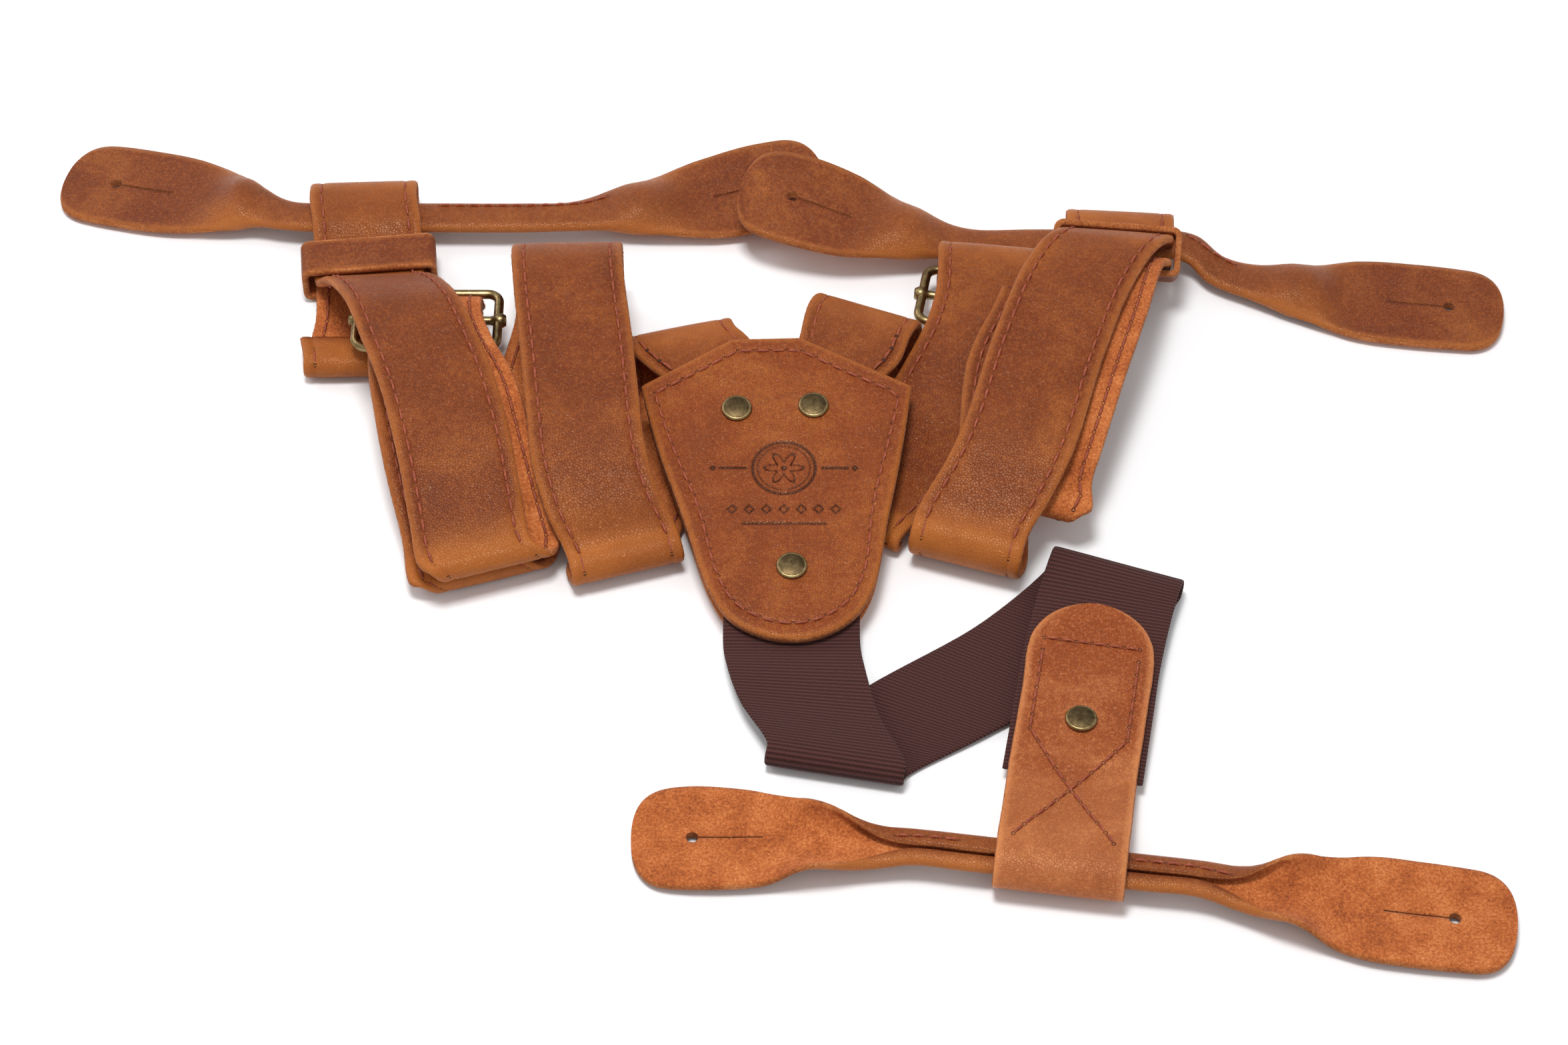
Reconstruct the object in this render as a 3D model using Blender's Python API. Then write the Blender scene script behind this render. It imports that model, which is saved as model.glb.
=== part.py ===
"""Leather button suspenders, lying coiled on a flat surface.

A two-layer back patch holds two long front straps and one elastic rear strap.  Each front strap lies in
two coils, loops round its folded button tab through a sliding keeper, and ends on the centre bar of a
centre-bar slide buckle.  The elastic ends in a folded leather end tab that holds the rear button tab.
+X is across, +Y leads away from the rear tab, +Z is up.  Lengths are in millimetres until `place` turns
them into metres.
"""
import math

import bmesh
import bpy
from mathutils import Vector

# ------------------------------------------------------------------ driving dimensions (mm)
LAYOUT_SHIFT = (3.2, 2.6, 0.0)        # puts the bounding box centre over the origin
STRAP_WIDTH = 30.0
STRAP_THICKNESS = 2.2
STRAP_ROOT_WIDTH = 17.0               # the strap ends are trimmed to lie side by side in the patch
ELASTIC_WIDTH = 35.0
ELASTIC_THICKNESS = 1.2
END_TAB_WIDTH = 32.0
EAR_WIDTH = 31.0
WAIST_WIDTH = 11.0
WAIST_THICKNESS = 4.0
TAB_LEATHER = 2.0
ON_TABLE = 1.6                        # centreline height of a strap lying on the surface

PATCH_FRONT_THICKNESS = 2.2
PATCH_LINING_THICKNESS = 1.4
PATCH_SLOPE = 0.125                   # rise of the patch per unit of +Y
PATCH_MIDDLE = (-1.0, 1.0, 13.2)      # a point on the middle plane of the patch front
LAYER_GAP = 0.35
PATCH_GAP = 0.6                       # between the patch layers and what they hold

RIVET_CAP_RADIUS = 4.0
RIVET_CAP_HEIGHT = 1.3
RIVET_POST_RADIUS = 1.3
RIVET_HOLE_RADIUS = 1.8
RIVET_FOOT_RADIUS = 3.0
RIVET_FOOT_HEIGHT = 0.6

BUCKLE_LENGTH = 23.0                  # along the strap
BUCKLE_WIDTH = 41.0                   # across the strap
BUCKLE_WIRE_RADIUS = 1.3
BUCKLE_CORNER = 3.2
BAR_RADIUS = 1.2

KEEPER_THICKNESS = 1.8
KEEPER_CORNER = 0.8

SPREAD_STEP = 11.0                    # longest straight stretch between two sections
SPREAD_ANGLE = math.radians(20.0)     # largest turn between two sections

# Colours: base colour, metallic, roughness
LEATHER = ("pull_up_leather", (0.30, 0.10, 0.035), 0.0, 0.45)
TAB_LEATHER_LOOK = ("tab_leather", (0.33, 0.12, 0.04), 0.0, 0.5)
LINING = ("suede_lining", (0.36, 0.15, 0.06), 0.0, 0.9)
ELASTIC = ("ribbed_elastic", (0.06, 0.02, 0.015), 0.0, 0.8)
BRASS = ("antique_brass", (0.30, 0.22, 0.10), 1.0, 0.35)


# ------------------------------------------------------------------ scene helpers
def clear_scene():
    for obj in list(bpy.data.objects):
        bpy.data.objects.remove(obj, do_unlink=True)


def look(settings):
    name, colour, metallic, roughness = settings
    if name in bpy.data.materials:
        return bpy.data.materials[name]
    material = bpy.data.materials.new(name)
    material.use_nodes = True
    shader = material.node_tree.nodes["Principled BSDF"]
    shader.inputs["Base Color"].default_value = (*colour, 1.0)
    shader.inputs["Metallic"].default_value = metallic
    shader.inputs["Roughness"].default_value = roughness
    return material


def place(point):
    """Layout millimetres to world metres."""
    return Vector(tuple((p + s) / 1000.0 for p, s in zip(point, LAYOUT_SHIFT)))


def add_object(name, bm, settings):
    bmesh.ops.recalc_face_normals(bm, faces=bm.faces)
    mesh = bpy.data.meshes.new(name)
    bm.to_mesh(mesh)
    bm.free()
    mesh.materials.append(look(settings))
    mesh.shade_smooth()
    mesh.set_sharp_from_angle(angle=math.radians(40.0))
    obj = bpy.data.objects.new(name, mesh)
    bpy.context.scene.collection.objects.link(obj)
    return obj


def skin(bm, rings, closed=False):
    """Join rings of points into one closed solid; `closed` joins the last ring to the first."""
    loops = [[bm.verts.new(place(p)) for p in ring] for ring in rings]
    pairs = list(zip(loops, loops[1:]))
    if closed:
        pairs.append((loops[-1], loops[0]))
    for low, high in pairs:
        for i in range(len(low)):
            j = (i + 1) % len(low)
            bm.faces.new((low[i], low[j], high[j], high[i]))
    if not closed:
        bm.faces.new(list(reversed(loops[0])))
        bm.faces.new(loops[-1])


# ------------------------------------------------------------------ ribbons
def bend(x, y, z_from, z_to, reach, heading, width=STRAP_WIDTH, shift=0.0):
    """Half an ellipse standing on the ribbon's axis: it leaves at z_from and comes back at z_to.

    `reach` is how far it bulges along the ribbon's own direction, `shift` how far it drifts sideways.
    """
    turn = math.radians(heading)
    middle = (z_from + z_to) / 2.0
    half = (z_to - z_from) / 2.0
    rows = []
    for step in range(-2, 3):
        angle = step * math.pi / 4.0
        out = reach * math.cos(angle)
        side = shift * step / 4.0
        rows.append((x - math.sin(turn) * out + math.cos(turn) * side,
                     y + math.cos(turn) * out + math.sin(turn) * side,
                     middle + half * math.sin(angle), heading, width, 0.0))
    return rows


def curve_through(rows, samples=12):
    """Centripetal Catmull-Rom curve through rows of numbers; the first three are the position."""
    first = [2 * a - b for a, b in zip(rows[0], rows[1])]
    last = [2 * a - b for a, b in zip(rows[-1], rows[-2])]
    knots = [first, *rows, last]
    result = []
    for i in range(len(knots) - 3):
        p = knots[i:i + 4]
        t = [0.0]
        for a, b in zip(p, p[1:]):
            t.append(t[-1] + max(math.dist(a[:3], b[:3]), 1e-6) ** 0.5)

        def mix(a, b, low, high, at):
            return [(va * (high - at) + vb * (at - low)) / (high - low) for va, vb in zip(a, b)]

        for s in range(samples):
            at = t[1] + (t[2] - t[1]) * s / samples
            a1 = mix(p[0], p[1], t[0], t[1], at)
            a2 = mix(p[1], p[2], t[1], t[2], at)
            a3 = mix(p[2], p[3], t[2], t[3], at)
            b1 = mix(a1, a2, t[0], t[2], at)
            b2 = mix(a2, a3, t[1], t[3], at)
            result.append(mix(b1, b2, t[1], t[2], at))
    result.append(list(rows[-1]))
    return result


def stations(rows):
    """Sections along a ribbon: centre, width direction, normal, and the remaining numbers of the row."""
    longest = max(len(row) for row in rows)
    curve = curve_through([tuple(row) + (0.0,) * (longest - len(row)) for row in rows])
    points = [Vector(r[:3]) for r in curve]
    tangents = []
    for i in range(len(points)):
        ahead = points[min(i + 1, len(points) - 1)]
        behind = points[max(i - 1, 0)]
        tangents.append((ahead - behind).normalized())
    kept = [0]
    for i in range(1, len(points) - 1):
        far = (points[i] - points[kept[-1]]).length > SPREAD_STEP
        turned = tangents[i].angle(tangents[kept[-1]]) > SPREAD_ANGLE
        if far or turned:
            kept.append(i)
    kept.append(len(points) - 1)
    result = []
    for i in kept:
        turn = math.radians(curve[i][3])
        across = Vector((math.cos(turn), math.sin(turn), 0.0))
        normal = across.cross(tangents[i]).normalized()
        result.append((points[i], across, normal, curve[i][4:]))
    return result


def ribbon(name, rows, thickness, settings):
    """A strap: rows are x, y, z, heading of the width direction in degrees, width, and its tilt if any."""
    rings = []
    for centre, across, normal, (width, tilt) in stations(rows):
        lean = math.radians(tilt)
        side = (across * math.cos(lean) + normal * math.sin(lean)) * (width / 2.0)
        up = (normal * math.cos(lean) - across * math.sin(lean)) * (thickness / 2.0)
        rings.append([centre - side - up, centre + side - up, centre + side + up, centre - side + up])
    bm = bmesh.new()
    skin(bm, rings)
    return add_object(name, bm, settings)


# ------------------------------------------------------------------ the patch's own plane
def patch_height(y, below=0.0):
    """Height of the patch front's middle plane over (0, y), lowered by `below` along its normal."""
    lean = math.hypot(1.0, PATCH_SLOPE)
    return PATCH_MIDDLE[2] + PATCH_SLOPE * (y - PATCH_MIDDLE[1]) - below * lean


STRAP_BELOW = (PATCH_FRONT_THICKNESS + STRAP_THICKNESS) / 2.0 + PATCH_GAP
LINING_BELOW = STRAP_BELOW + (STRAP_THICKNESS + PATCH_LINING_THICKNESS) / 2.0 + PATCH_GAP

# ------------------------------------------------------------------ routes of the straps
# Each row: x, y, z, heading of the width direction in degrees, width, and its tilt in degrees if any.
LEFT_BACK_STRAP = [
    (-12.0, 16.0, patch_height(16.0, STRAP_BELOW), 0.0, STRAP_ROOT_WIDTH),
    (-12.5, 25.0, patch_height(25.0, STRAP_BELOW), 6.0, STRAP_ROOT_WIDTH, 0.7),
    (-16.5, 36.0, patch_height(36.0, STRAP_BELOW), 14.0, 22.0, 1.7),
    (-22.5, 46.0, patch_height(46.0, STRAP_BELOW), 16.0, 29.0, 1.9),
    *reversed(bend(-27.5, 53.0, ON_TABLE, 15.6, 6.5, 15.0)),
    (-33.0, 25.0, ON_TABLE, 11.0, STRAP_WIDTH),
    (-37.0, 5.0, ON_TABLE, 14.0, STRAP_WIDTH),
    *bend(-42.3, -14.0, ON_TABLE, 9.0, -7.0, 17.0),
    (-47.0, -6.0, 14.0, 16.0, STRAP_WIDTH),
    (-51.0, 7.0, 18.6, 13.0, STRAP_WIDTH),
    (-53.0, 22.0, 22.0, 10.0, STRAP_WIDTH),
    (-55.0, 40.0, 24.3, 7.0, STRAP_WIDTH),
    (-57.5, 60.0, 25.5, 4.0, STRAP_WIDTH),
    *reversed(bend(-59.0, 75.0, ON_TABLE, 25.0, 10.0, 1.0)),
    (-63.0, 52.0, ON_TABLE, 5.0, STRAP_WIDTH),
    (-66.5, 25.0, ON_TABLE, 9.0, STRAP_WIDTH),
    (-71.5, 0.0, ON_TABLE, 14.0, STRAP_WIDTH),
    *bend(-78.0, -20.0, ON_TABLE, 5.2, -2.1, 18.0, shift=-9.0),
    (-85.0, -8.0, 7.4, 17.0, STRAP_WIDTH),
    (-89.5, 8.0, 12.4, 15.0, STRAP_WIDTH),
    (-93.5, 26.0, 16.0, 10.0, STRAP_WIDTH),
    (-96.0, 40.0, 16.4, 5.0, STRAP_WIDTH),
    (-97.0, 52.0, 15.0, 1.0, STRAP_WIDTH),
    *reversed(bend(-97.0, 63.5, 8.7, 14.3, 2.9, 0.0)),
    (-97.0, 57.5, 9.3, 0.0, STRAP_WIDTH),
]
LEFT_FRONT_STRAP = [
    (-117.0, 62.0, 5.8, 0.0, STRAP_WIDTH),
    *reversed(bend(-115.5, 54.5, ON_TABLE, 5.8, -2.4, 1.0)),
    (-115.0, 63.0, ON_TABLE, 1.0, STRAP_WIDTH),
    (-114.0, 74.0, 2.0, 4.0, STRAP_WIDTH),
    (-114.3, 83.0, 3.9, 6.0, STRAP_WIDTH),
    (-115.2, 91.0, 4.0, 6.0, STRAP_WIDTH),
    (-116.0, 98.6, 3.8, 4.0, STRAP_WIDTH),
    (-116.4, 102.2, 2.1, 3.0, STRAP_WIDTH),
    (-116.8, 106.0, ON_TABLE, 3.0, STRAP_WIDTH),
    *bend(-118.0, 112.6, ON_TABLE, 10.9, 9.0, 3.0),
    (-116.6, 104.5, 10.0, 3.0, STRAP_WIDTH),
    (-116.0, 99.0, 7.7, 4.0, STRAP_WIDTH),
    (-115.2, 91.0, 7.5, 6.0, STRAP_WIDTH),
    (-114.3, 83.5, 8.0, 6.0, STRAP_WIDTH),
    (-111.5, 77.5, 14.0, 3.0, STRAP_WIDTH),
    (-107.5, 69.0, 20.6, 2.0, STRAP_WIDTH),
    (-102.5, 58.0, 25.2, 4.0, STRAP_WIDTH),
    (-98.0, 46.0, 25.8, 8.0, STRAP_WIDTH),
    (-92.0, 30.0, 24.2, 11.0, STRAP_WIDTH),
    (-86.5, 10.0, 20.5, 14.0, STRAP_WIDTH),
    (-82.5, -9.0, 15.6, 17.0, STRAP_WIDTH),
    *reversed(bend(-76.0, -20.5, 7.8, 12.4, -3.4, 18.0, shift=-7.5)),
    (-75.5, -8.0, 11.2, 17.0, STRAP_WIDTH),
    (-80.5, 10.0, 16.6, 15.0, STRAP_WIDTH),
    (-86.0, 30.0, 20.3, 11.0, STRAP_WIDTH),
    (-93.0, 47.0, 20.2, 4.0, STRAP_WIDTH),
    (-96.5, 59.0, 18.6, 0.0, STRAP_WIDTH),
    (-97.0, 65.0, 17.2, 0.0, STRAP_WIDTH),
    (-97.0, 68.6, 14.2, 0.0, STRAP_WIDTH),
    (-97.0, 70.6, 10.8, 0.0, STRAP_WIDTH),
    (-97.0, 72.4, 8.0, 0.0, STRAP_WIDTH),
    (-97.0, 76.8, 6.6, 0.0, 24.0),
]
RIGHT_BACK_STRAP = [
    (7.5, 16.0, patch_height(16.0, STRAP_BELOW), 0.0, STRAP_ROOT_WIDTH),
    (8.0, 26.0, patch_height(26.0, STRAP_BELOW), -6.0, STRAP_ROOT_WIDTH, -0.7),
    (13.0, 38.0, patch_height(38.0, STRAP_BELOW), -16.0, 22.0, -1.9),
    (17.5, 48.0, patch_height(48.0, STRAP_BELOW), -20.0, 28.0, -2.4),
    *reversed(bend(20.5, 59.0, ON_TABLE, 16.6, 8.5, -22.0)),
    (17.0, 40.0, ON_TABLE, -22.0, STRAP_WIDTH),
    (15.0, 18.0, ON_TABLE, -24.0, STRAP_WIDTH),
    *bend(17.5, -3.0, ON_TABLE, 5.0, -2.0, -28.0),
    (26.0, 8.0, 5.7, -26.0, STRAP_WIDTH),
    (37.5, 26.0, 8.6, -22.0, STRAP_WIDTH),
    (46.5, 42.0, 12.0, -19.0, STRAP_WIDTH),
    (53.0, 56.0, 14.6, -16.0, STRAP_WIDTH),
    (56.5, 71.0, 15.6, -12.0, STRAP_WIDTH),
    *reversed(bend(57.3, 85.5, 3.9, 15.8, 5.0, -7.0)),
    *reversed(bend(57.0, 74.5, 10.3, 4.7, -2.9, -10.0)),
    (58.4, 80.5, 9.9, -10.0, STRAP_WIDTH),
]
RIGHT_FRONT_STRAP = [
    (58.5, 82.0, 13.2, -10.0, 24.0),
    (57.2, 76.0, 13.2, -10.0, 28.0),
    (56.4, 72.2, 13.0, -10.0, 28.0),
    (55.9, 69.1, 9.8, -10.0, 28.0),
    (55.6, 67.2, 6.0, -10.0, 28.0),
    (55.2, 64.9, 3.1, -10.0, 28.0),
    (54.6, 62.0, 1.9, -11.0, 28.0),
    (53.5, 56.0, ON_TABLE, -12.0, 29.0),
    (51.5, 30.0, ON_TABLE, -15.0, STRAP_WIDTH),
    (50.0, 5.0, ON_TABLE, -17.0, STRAP_WIDTH),
    *bend(49.0, -11.5, ON_TABLE, 13.2, -8.0, -18.0),
    (56.0, 0.0, 17.6, -19.0, STRAP_WIDTH),
    (61.7, 12.0, 21.4, -18.0, STRAP_WIDTH),
    (69.5, 38.0, 25.2, -17.0, STRAP_WIDTH),
    (78.5, 64.0, 26.6, -15.0, STRAP_WIDTH),
    (84.5, 76.5, 26.0, -11.0, STRAP_WIDTH),
    (88.6, 82.6, 24.6, -8.0, STRAP_WIDTH),
    (91.6, 86.7, 21.6, -6.0, STRAP_WIDTH),
    (92.2, 92.8, 12.5, -6.0, STRAP_WIDTH),
    (92.2, 95.2, 11.0, -5.0, STRAP_WIDTH),
    *reversed(bend(93.5, 100.5, ON_TABLE, 10.9, 9.0, -4.0)),
    (92.6, 94.2, ON_TABLE, -4.0, STRAP_WIDTH),
    (91.8, 91.4, 2.7, -5.0, STRAP_WIDTH),
    (91.8, 89.7, 5.4, -6.0, STRAP_WIDTH),
    (91.6, 87.3, 8.8, -6.0, STRAP_WIDTH),
    (91.0, 81.2, 17.9, -6.0, STRAP_WIDTH),
    (88.8, 77.6, 21.2, -8.0, STRAP_WIDTH),
    (86.8, 72.0, 22.8, -12.0, STRAP_WIDTH),
    (83.5, 60.0, 23.0, -15.0, STRAP_WIDTH),
    (76.5, 38.0, 21.6, -17.0, STRAP_WIDTH),
    (69.0, 14.0, 17.8, -18.0, STRAP_WIDTH),
    (66.2, 5.5, 15.0, -19.0, STRAP_WIDTH),
    *reversed(bend(62.5, -1.0, 8.6, 12.4, -2.5, -19.0, shift=7.0)),
    (60.0, 9.0, 12.8, -19.0, STRAP_WIDTH),
    (63.5, 38.0, 18.4, -17.0, STRAP_WIDTH),
    (71.5, 58.0, 19.9, -16.0, STRAP_WIDTH),
    (73.5, 64.0, 19.9, -15.0, STRAP_WIDTH),
]
ELASTIC_WEB = [
    (2.0, -18.0, patch_height(-18.0, STRAP_BELOW), 0.0, ELASTIC_WIDTH),
    (2.0, -34.0, patch_height(-34.0, STRAP_BELOW), 0.0, ELASTIC_WIDTH),
    (2.0, -46.5, patch_height(-46.5, STRAP_BELOW), 0.0, ELASTIC_WIDTH),
    (3.2, -55.0, 5.4, -2.0, ELASTIC_WIDTH),
    (6.5, -68.0, 5.6, -7.0, ELASTIC_WIDTH),
    *reversed(bend(13.0, -83.0, 1.0, 6.4, -3.6, -11.0, ELASTIC_WIDTH)),
    (36.0, -65.0, 1.0, -24.0, ELASTIC_WIDTH),
    (66.0, -44.0, 1.0, -27.0, ELASTIC_WIDTH),
    *bend(86.0, -21.5, 1.0, 6.0, 3.0, -20.0, ELASTIC_WIDTH),
    (82.5, -33.0, 5.4, -13.0, ELASTIC_WIDTH),
    (78.0, -52.0, 5.2, -10.0, ELASTIC_WIDTH),
    (75.5, -66.0, 5.0, -10.0, ELASTIC_WIDTH),
    (71.5, -88.0, 3.7, -9.0, ELASTIC_WIDTH),
]


# ------------------------------------------------------------------ tabs
END_TAB_TOP = 6.65                    # height of the upper leaf at the rivet
END_TAB = [
    (80.5, -35.5, 7.3, -10.0, 9.0),
    (80.0, -38.0, 7.3, -10.0, 20.0),
    (79.2, -42.5, 7.3, -10.0, 28.5),
    (78.0, -50.0, 7.2, -10.0, END_TAB_WIDTH),
    (75.5, -66.0, 7.0, -10.0, END_TAB_WIDTH),
    (71.5, -88.0, 5.8, -9.0, END_TAB_WIDTH),
    (69.3, -103.0, 8.2, -8.0, END_TAB_WIDTH),
    (68.2, -110.0, 10.2, -8.0, END_TAB_WIDTH),
    *reversed(bend(67.3, -116.0, ON_TABLE, 10.8, -8.8, -8.0, END_TAB_WIDTH)),
    (68.8, -105.0, ON_TABLE, -8.0, END_TAB_WIDTH),
    (71.5, -88.0, 1.7, -9.0, END_TAB_WIDTH),
    (75.5, -66.0, 3.0, -10.0, END_TAB_WIDTH),
    (77.3, -54.0, 3.2, -10.0, END_TAB_WIDTH),
]

# Button tabs run from one ear to the other: x, y, z, heading of the width direction, width, thickness,
# tilt of the width direction.  The waist is the folded middle that slides in its loop.
LEFT_TAB = [
    (-204.5, 130.6, 1.6, -103.0, 9.0, TAB_LEATHER, 0.0),
    (-202.0, 130.0, 1.6, -103.0, 20.0, TAB_LEATHER, 0.0),
    (-197.0, 128.9, 1.6, -103.0, 28.0, TAB_LEATHER, 0.0),
    (-189.0, 127.0, 1.6, -103.0, EAR_WIDTH, TAB_LEATHER, 0.0),
    (-172.0, 122.8, 2.0, -103.0, 30.0, TAB_LEATHER, 0.0),
    (-157.0, 118.4, 3.4, -103.0, 23.0, 2.6, 0.0),
    (-147.5, 114.4, 5.0, -100.0, 14.5, 3.6, 0.0),
    (-139.5, 111.0, 5.7, -95.0, WAIST_WIDTH, WAIST_THICKNESS, 0.0),
    (-128.0, 110.0, 5.75, -90.0, WAIST_WIDTH, WAIST_THICKNESS, 0.0),
    (-112.0, 110.0, 5.75, -90.0, WAIST_WIDTH, WAIST_THICKNESS, 0.0),
    (-92.0, 110.0, 5.75, -90.0, WAIST_WIDTH, WAIST_THICKNESS, 0.0),
    (-74.0, 110.0, 5.75, -90.0, WAIST_WIDTH, WAIST_THICKNESS, 0.0),
    (-60.0, 110.6, 5.7, -90.0, WAIST_WIDTH, WAIST_THICKNESS, 0.0),
    (-50.0, 112.6, 5.4, -86.0, 14.5, 3.6, 0.0),
    (-37.0, 115.6, 4.2, -80.0, 22.0, 2.6, 0.0),
    (-22.0, 119.0, 4.0, -78.0, 29.0, TAB_LEATHER, 4.0),
    (-8.0, 122.4, 5.0, -77.0, EAR_WIDTH, TAB_LEATHER, 6.0),
    (4.0, 125.4, 6.0, -76.0, 28.0, TAB_LEATHER, 6.0),
    (9.0, 126.6, 6.3, -76.0, 20.0, TAB_LEATHER, 6.0),
    (11.5, 127.2, 6.4, -76.0, 9.0, TAB_LEATHER, 6.0),
]
RIGHT_TAB = [
    (-12.0, 112.8, 15.0, -104.0, 9.0, TAB_LEATHER, 8.0),
    (-9.5, 112.1, 15.0, -104.0, 20.0, TAB_LEATHER, 8.0),
    (-4.5, 110.7, 14.8, -104.0, 27.5, TAB_LEATHER, 8.0),
    (4.0, 108.3, 14.0, -103.0, EAR_WIDTH, TAB_LEATHER, 8.0),
    (18.0, 105.1, 11.0, -101.0, 29.0, TAB_LEATHER, 6.0),
    (32.0, 102.7, 7.6, -98.0, 21.0, 2.6, 3.0),
    (44.0, 100.6, 6.0, -94.0, 14.0, 3.6, 0.0),
    (53.0, 99.2, 6.0, -90.0, WAIST_WIDTH, WAIST_THICKNESS, 0.0),
    (68.0, 99.2, 6.0, -90.0, WAIST_WIDTH, WAIST_THICKNESS, 0.0),
    (84.0, 99.2, 6.0, -90.0, WAIST_WIDTH, WAIST_THICKNESS, 0.0),
    (98.0, 99.2, 6.0, -90.0, WAIST_WIDTH, WAIST_THICKNESS, 0.0),
    (108.0, 99.0, 6.0, -90.0, WAIST_WIDTH, WAIST_THICKNESS, 0.0),
    (114.0, 97.2, 5.6, -106.0, WAIST_WIDTH, WAIST_THICKNESS, 0.0),
    (120.0, 91.0, 4.0, -116.0, WAIST_WIDTH, WAIST_THICKNESS, 0.0),
    (131.0, 86.2, 3.4, -106.0, 13.5, 3.8, 0.0),
    (143.0, 83.4, 2.6, -99.0, 20.0, 2.8, 0.0),
    (158.0, 81.2, 1.8, -98.0, 29.0, TAB_LEATHER, 0.0),
    (173.0, 79.2, 1.6, -98.0, EAR_WIDTH, TAB_LEATHER, 0.0),
    (191.0, 76.8, 1.6, -98.0, 28.0, TAB_LEATHER, 0.0),
    (196.0, 76.1, 1.6, -98.0, 20.0, TAB_LEATHER, 0.0),
    (198.5, 75.8, 1.6, -98.0, 9.0, TAB_LEATHER, 0.0),
]
REAR_TAB = [
    (-37.5, -106.0, 1.6, -90.0, 9.0, TAB_LEATHER, 0.0),
    (-35.0, -106.0, 1.6, -90.0, 20.0, TAB_LEATHER, 0.0),
    (-30.0, -106.0, 1.6, -91.0, 28.0, TAB_LEATHER, 0.0),
    (-21.0, -106.2, 1.6, -91.0, EAR_WIDTH, TAB_LEATHER, 0.0),
    (-5.0, -107.2, 2.0, -94.0, 28.0, TAB_LEATHER, 0.0),
    (9.0, -108.6, 3.0, -96.0, 20.0, 2.8, 0.0),
    (22.0, -110.2, 4.6, -98.0, 13.5, 3.8, 0.0),
    (32.0, -110.8, 6.0, -98.0, WAIST_WIDTH, WAIST_THICKNESS, 0.0),
    (44.0, -112.49, 6.0, -98.0, WAIST_WIDTH, WAIST_THICKNESS, 0.0),
    (58.0, -114.45, 6.0, -98.0, WAIST_WIDTH, WAIST_THICKNESS, 0.0),
    (74.0, -116.7, 6.0, -98.0, WAIST_WIDTH, WAIST_THICKNESS, 0.0),
    (88.0, -118.67, 6.0, -98.0, WAIST_WIDTH, WAIST_THICKNESS, 0.0),
    (101.0, -120.5, 6.0, -98.0, WAIST_WIDTH, WAIST_THICKNESS, 0.0),
    (112.0, -123.2, 4.6, -99.0, 14.0, 3.8, 0.0),
    (125.0, -125.2, 3.0, -99.0, 22.0, 2.8, 0.0),
    (140.0, -127.6, 1.8, -99.0, 30.0, TAB_LEATHER, 0.0),
    (153.0, -129.6, 1.6, -99.0, EAR_WIDTH, TAB_LEATHER, 0.0),
    (169.0, -131.8, 1.6, -98.0, 28.0, TAB_LEATHER, 0.0),
    (174.0, -132.5, 1.6, -98.0, 20.0, TAB_LEATHER, 0.0),
    (176.5, -132.8, 1.6, -98.0, 9.0, TAB_LEATHER, 0.0),
]
# Buttonholes: distance of the round hole from the ear's end, and length of the slit that runs from it.
BUTTONHOLE_FROM_END = 15.0
BUTTONHOLE_RADIUS = 1.6
BUTTONHOLE_SLIT = 16.0
BUTTONHOLE_SLIT_WIDTH = 0.8

# Keepers: centre, heading of the width direction, rise of the axis, length, inner width and height.
LEFT_KEEPER = ((-115.1, 90.6, 5.75), 6.0, 0.0, 13.0, 33.6, 7.2)
RIGHT_KEEPER = ((91.6, 87.0, 15.2), -6.0, -56.0, 9.0, 31.6, 10.4)

# Buckles: middle of the centre bar, heading of the bar.
LEFT_BUCKLE = ((-97.0, 63.5, 11.5), 0.0)
RIGHT_BUCKLE = ((57.0, 74.5, 7.5), -10.0)

PATCH_OUTLINE = [
    (-38.0, 33.0), (-14.0, 48.5), (4.5, 49.0), (34.0, 33.0),
    (31.0, 12.0), (27.0, -10.0), (23.0, -31.0), (18.0, -40.0), (10.0, -45.5), (2.0, -47.0),
    (-6.0, -45.5), (-14.0, -40.5), (-19.5, -31.0), (-26.0, -10.0), (-33.0, 12.0),
]
PATCH_RIVETS = {"left": (-12.5, 25.0), "right": (7.8, 26.0), "bottom": (2.0, -25.0)}
END_TAB_RIVET = (74.2, -73.0)


def turned_frame(heading, rise=0.0):
    """Width direction, axis and outward normal of a piece; the axis climbs by `rise` degrees."""
    turn = math.radians(heading)
    climb = math.radians(rise)
    across = Vector((math.cos(turn), math.sin(turn), 0.0))
    ahead = Vector((-math.sin(turn), math.cos(turn), 0.0))
    axis = ahead * math.cos(climb) + Vector((0.0, 0.0, math.sin(climb)))
    return across, axis, across.cross(axis)


def tilted_stations(rows):
    """Sections of a button tab, whose rows also hold a thickness and a tilt of the width direction."""
    result = []
    for centre, across, normal, (width, thickness, tilt) in stations(rows):
        lean = math.radians(tilt)
        side = across * math.cos(lean) - normal * math.sin(lean)
        up = normal * math.cos(lean) + across * math.sin(lean)
        result.append((centre, side, up, width, thickness))
    return result


def subtract(obj, cutter):
    cutter.hide_render = True
    cutter.display_type = "WIRE"
    cut = obj.modifiers.new("cut_" + cutter.name, "BOOLEAN")
    cut.operation = "DIFFERENCE"
    cut.solver = "EXACT"
    cut.object = cutter


def round_cutter(name, centre, normal, radius, depth, sides=12):
    """A cylinder cutter through `centre` along `normal`."""
    across = normal.orthogonal().normalized()
    other = normal.cross(across)
    rings = []
    for end in (-0.5, 0.5):
        ring = []
        for i in range(sides):
            angle = 2 * math.pi * i / sides
            ring.append(centre + normal * (end * depth)
                        + across * (radius * math.cos(angle)) + other * (radius * math.sin(angle)))
        rings.append(ring)
    bm = bmesh.new()
    skin(bm, rings)
    return add_object(name, bm, BRASS)


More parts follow.
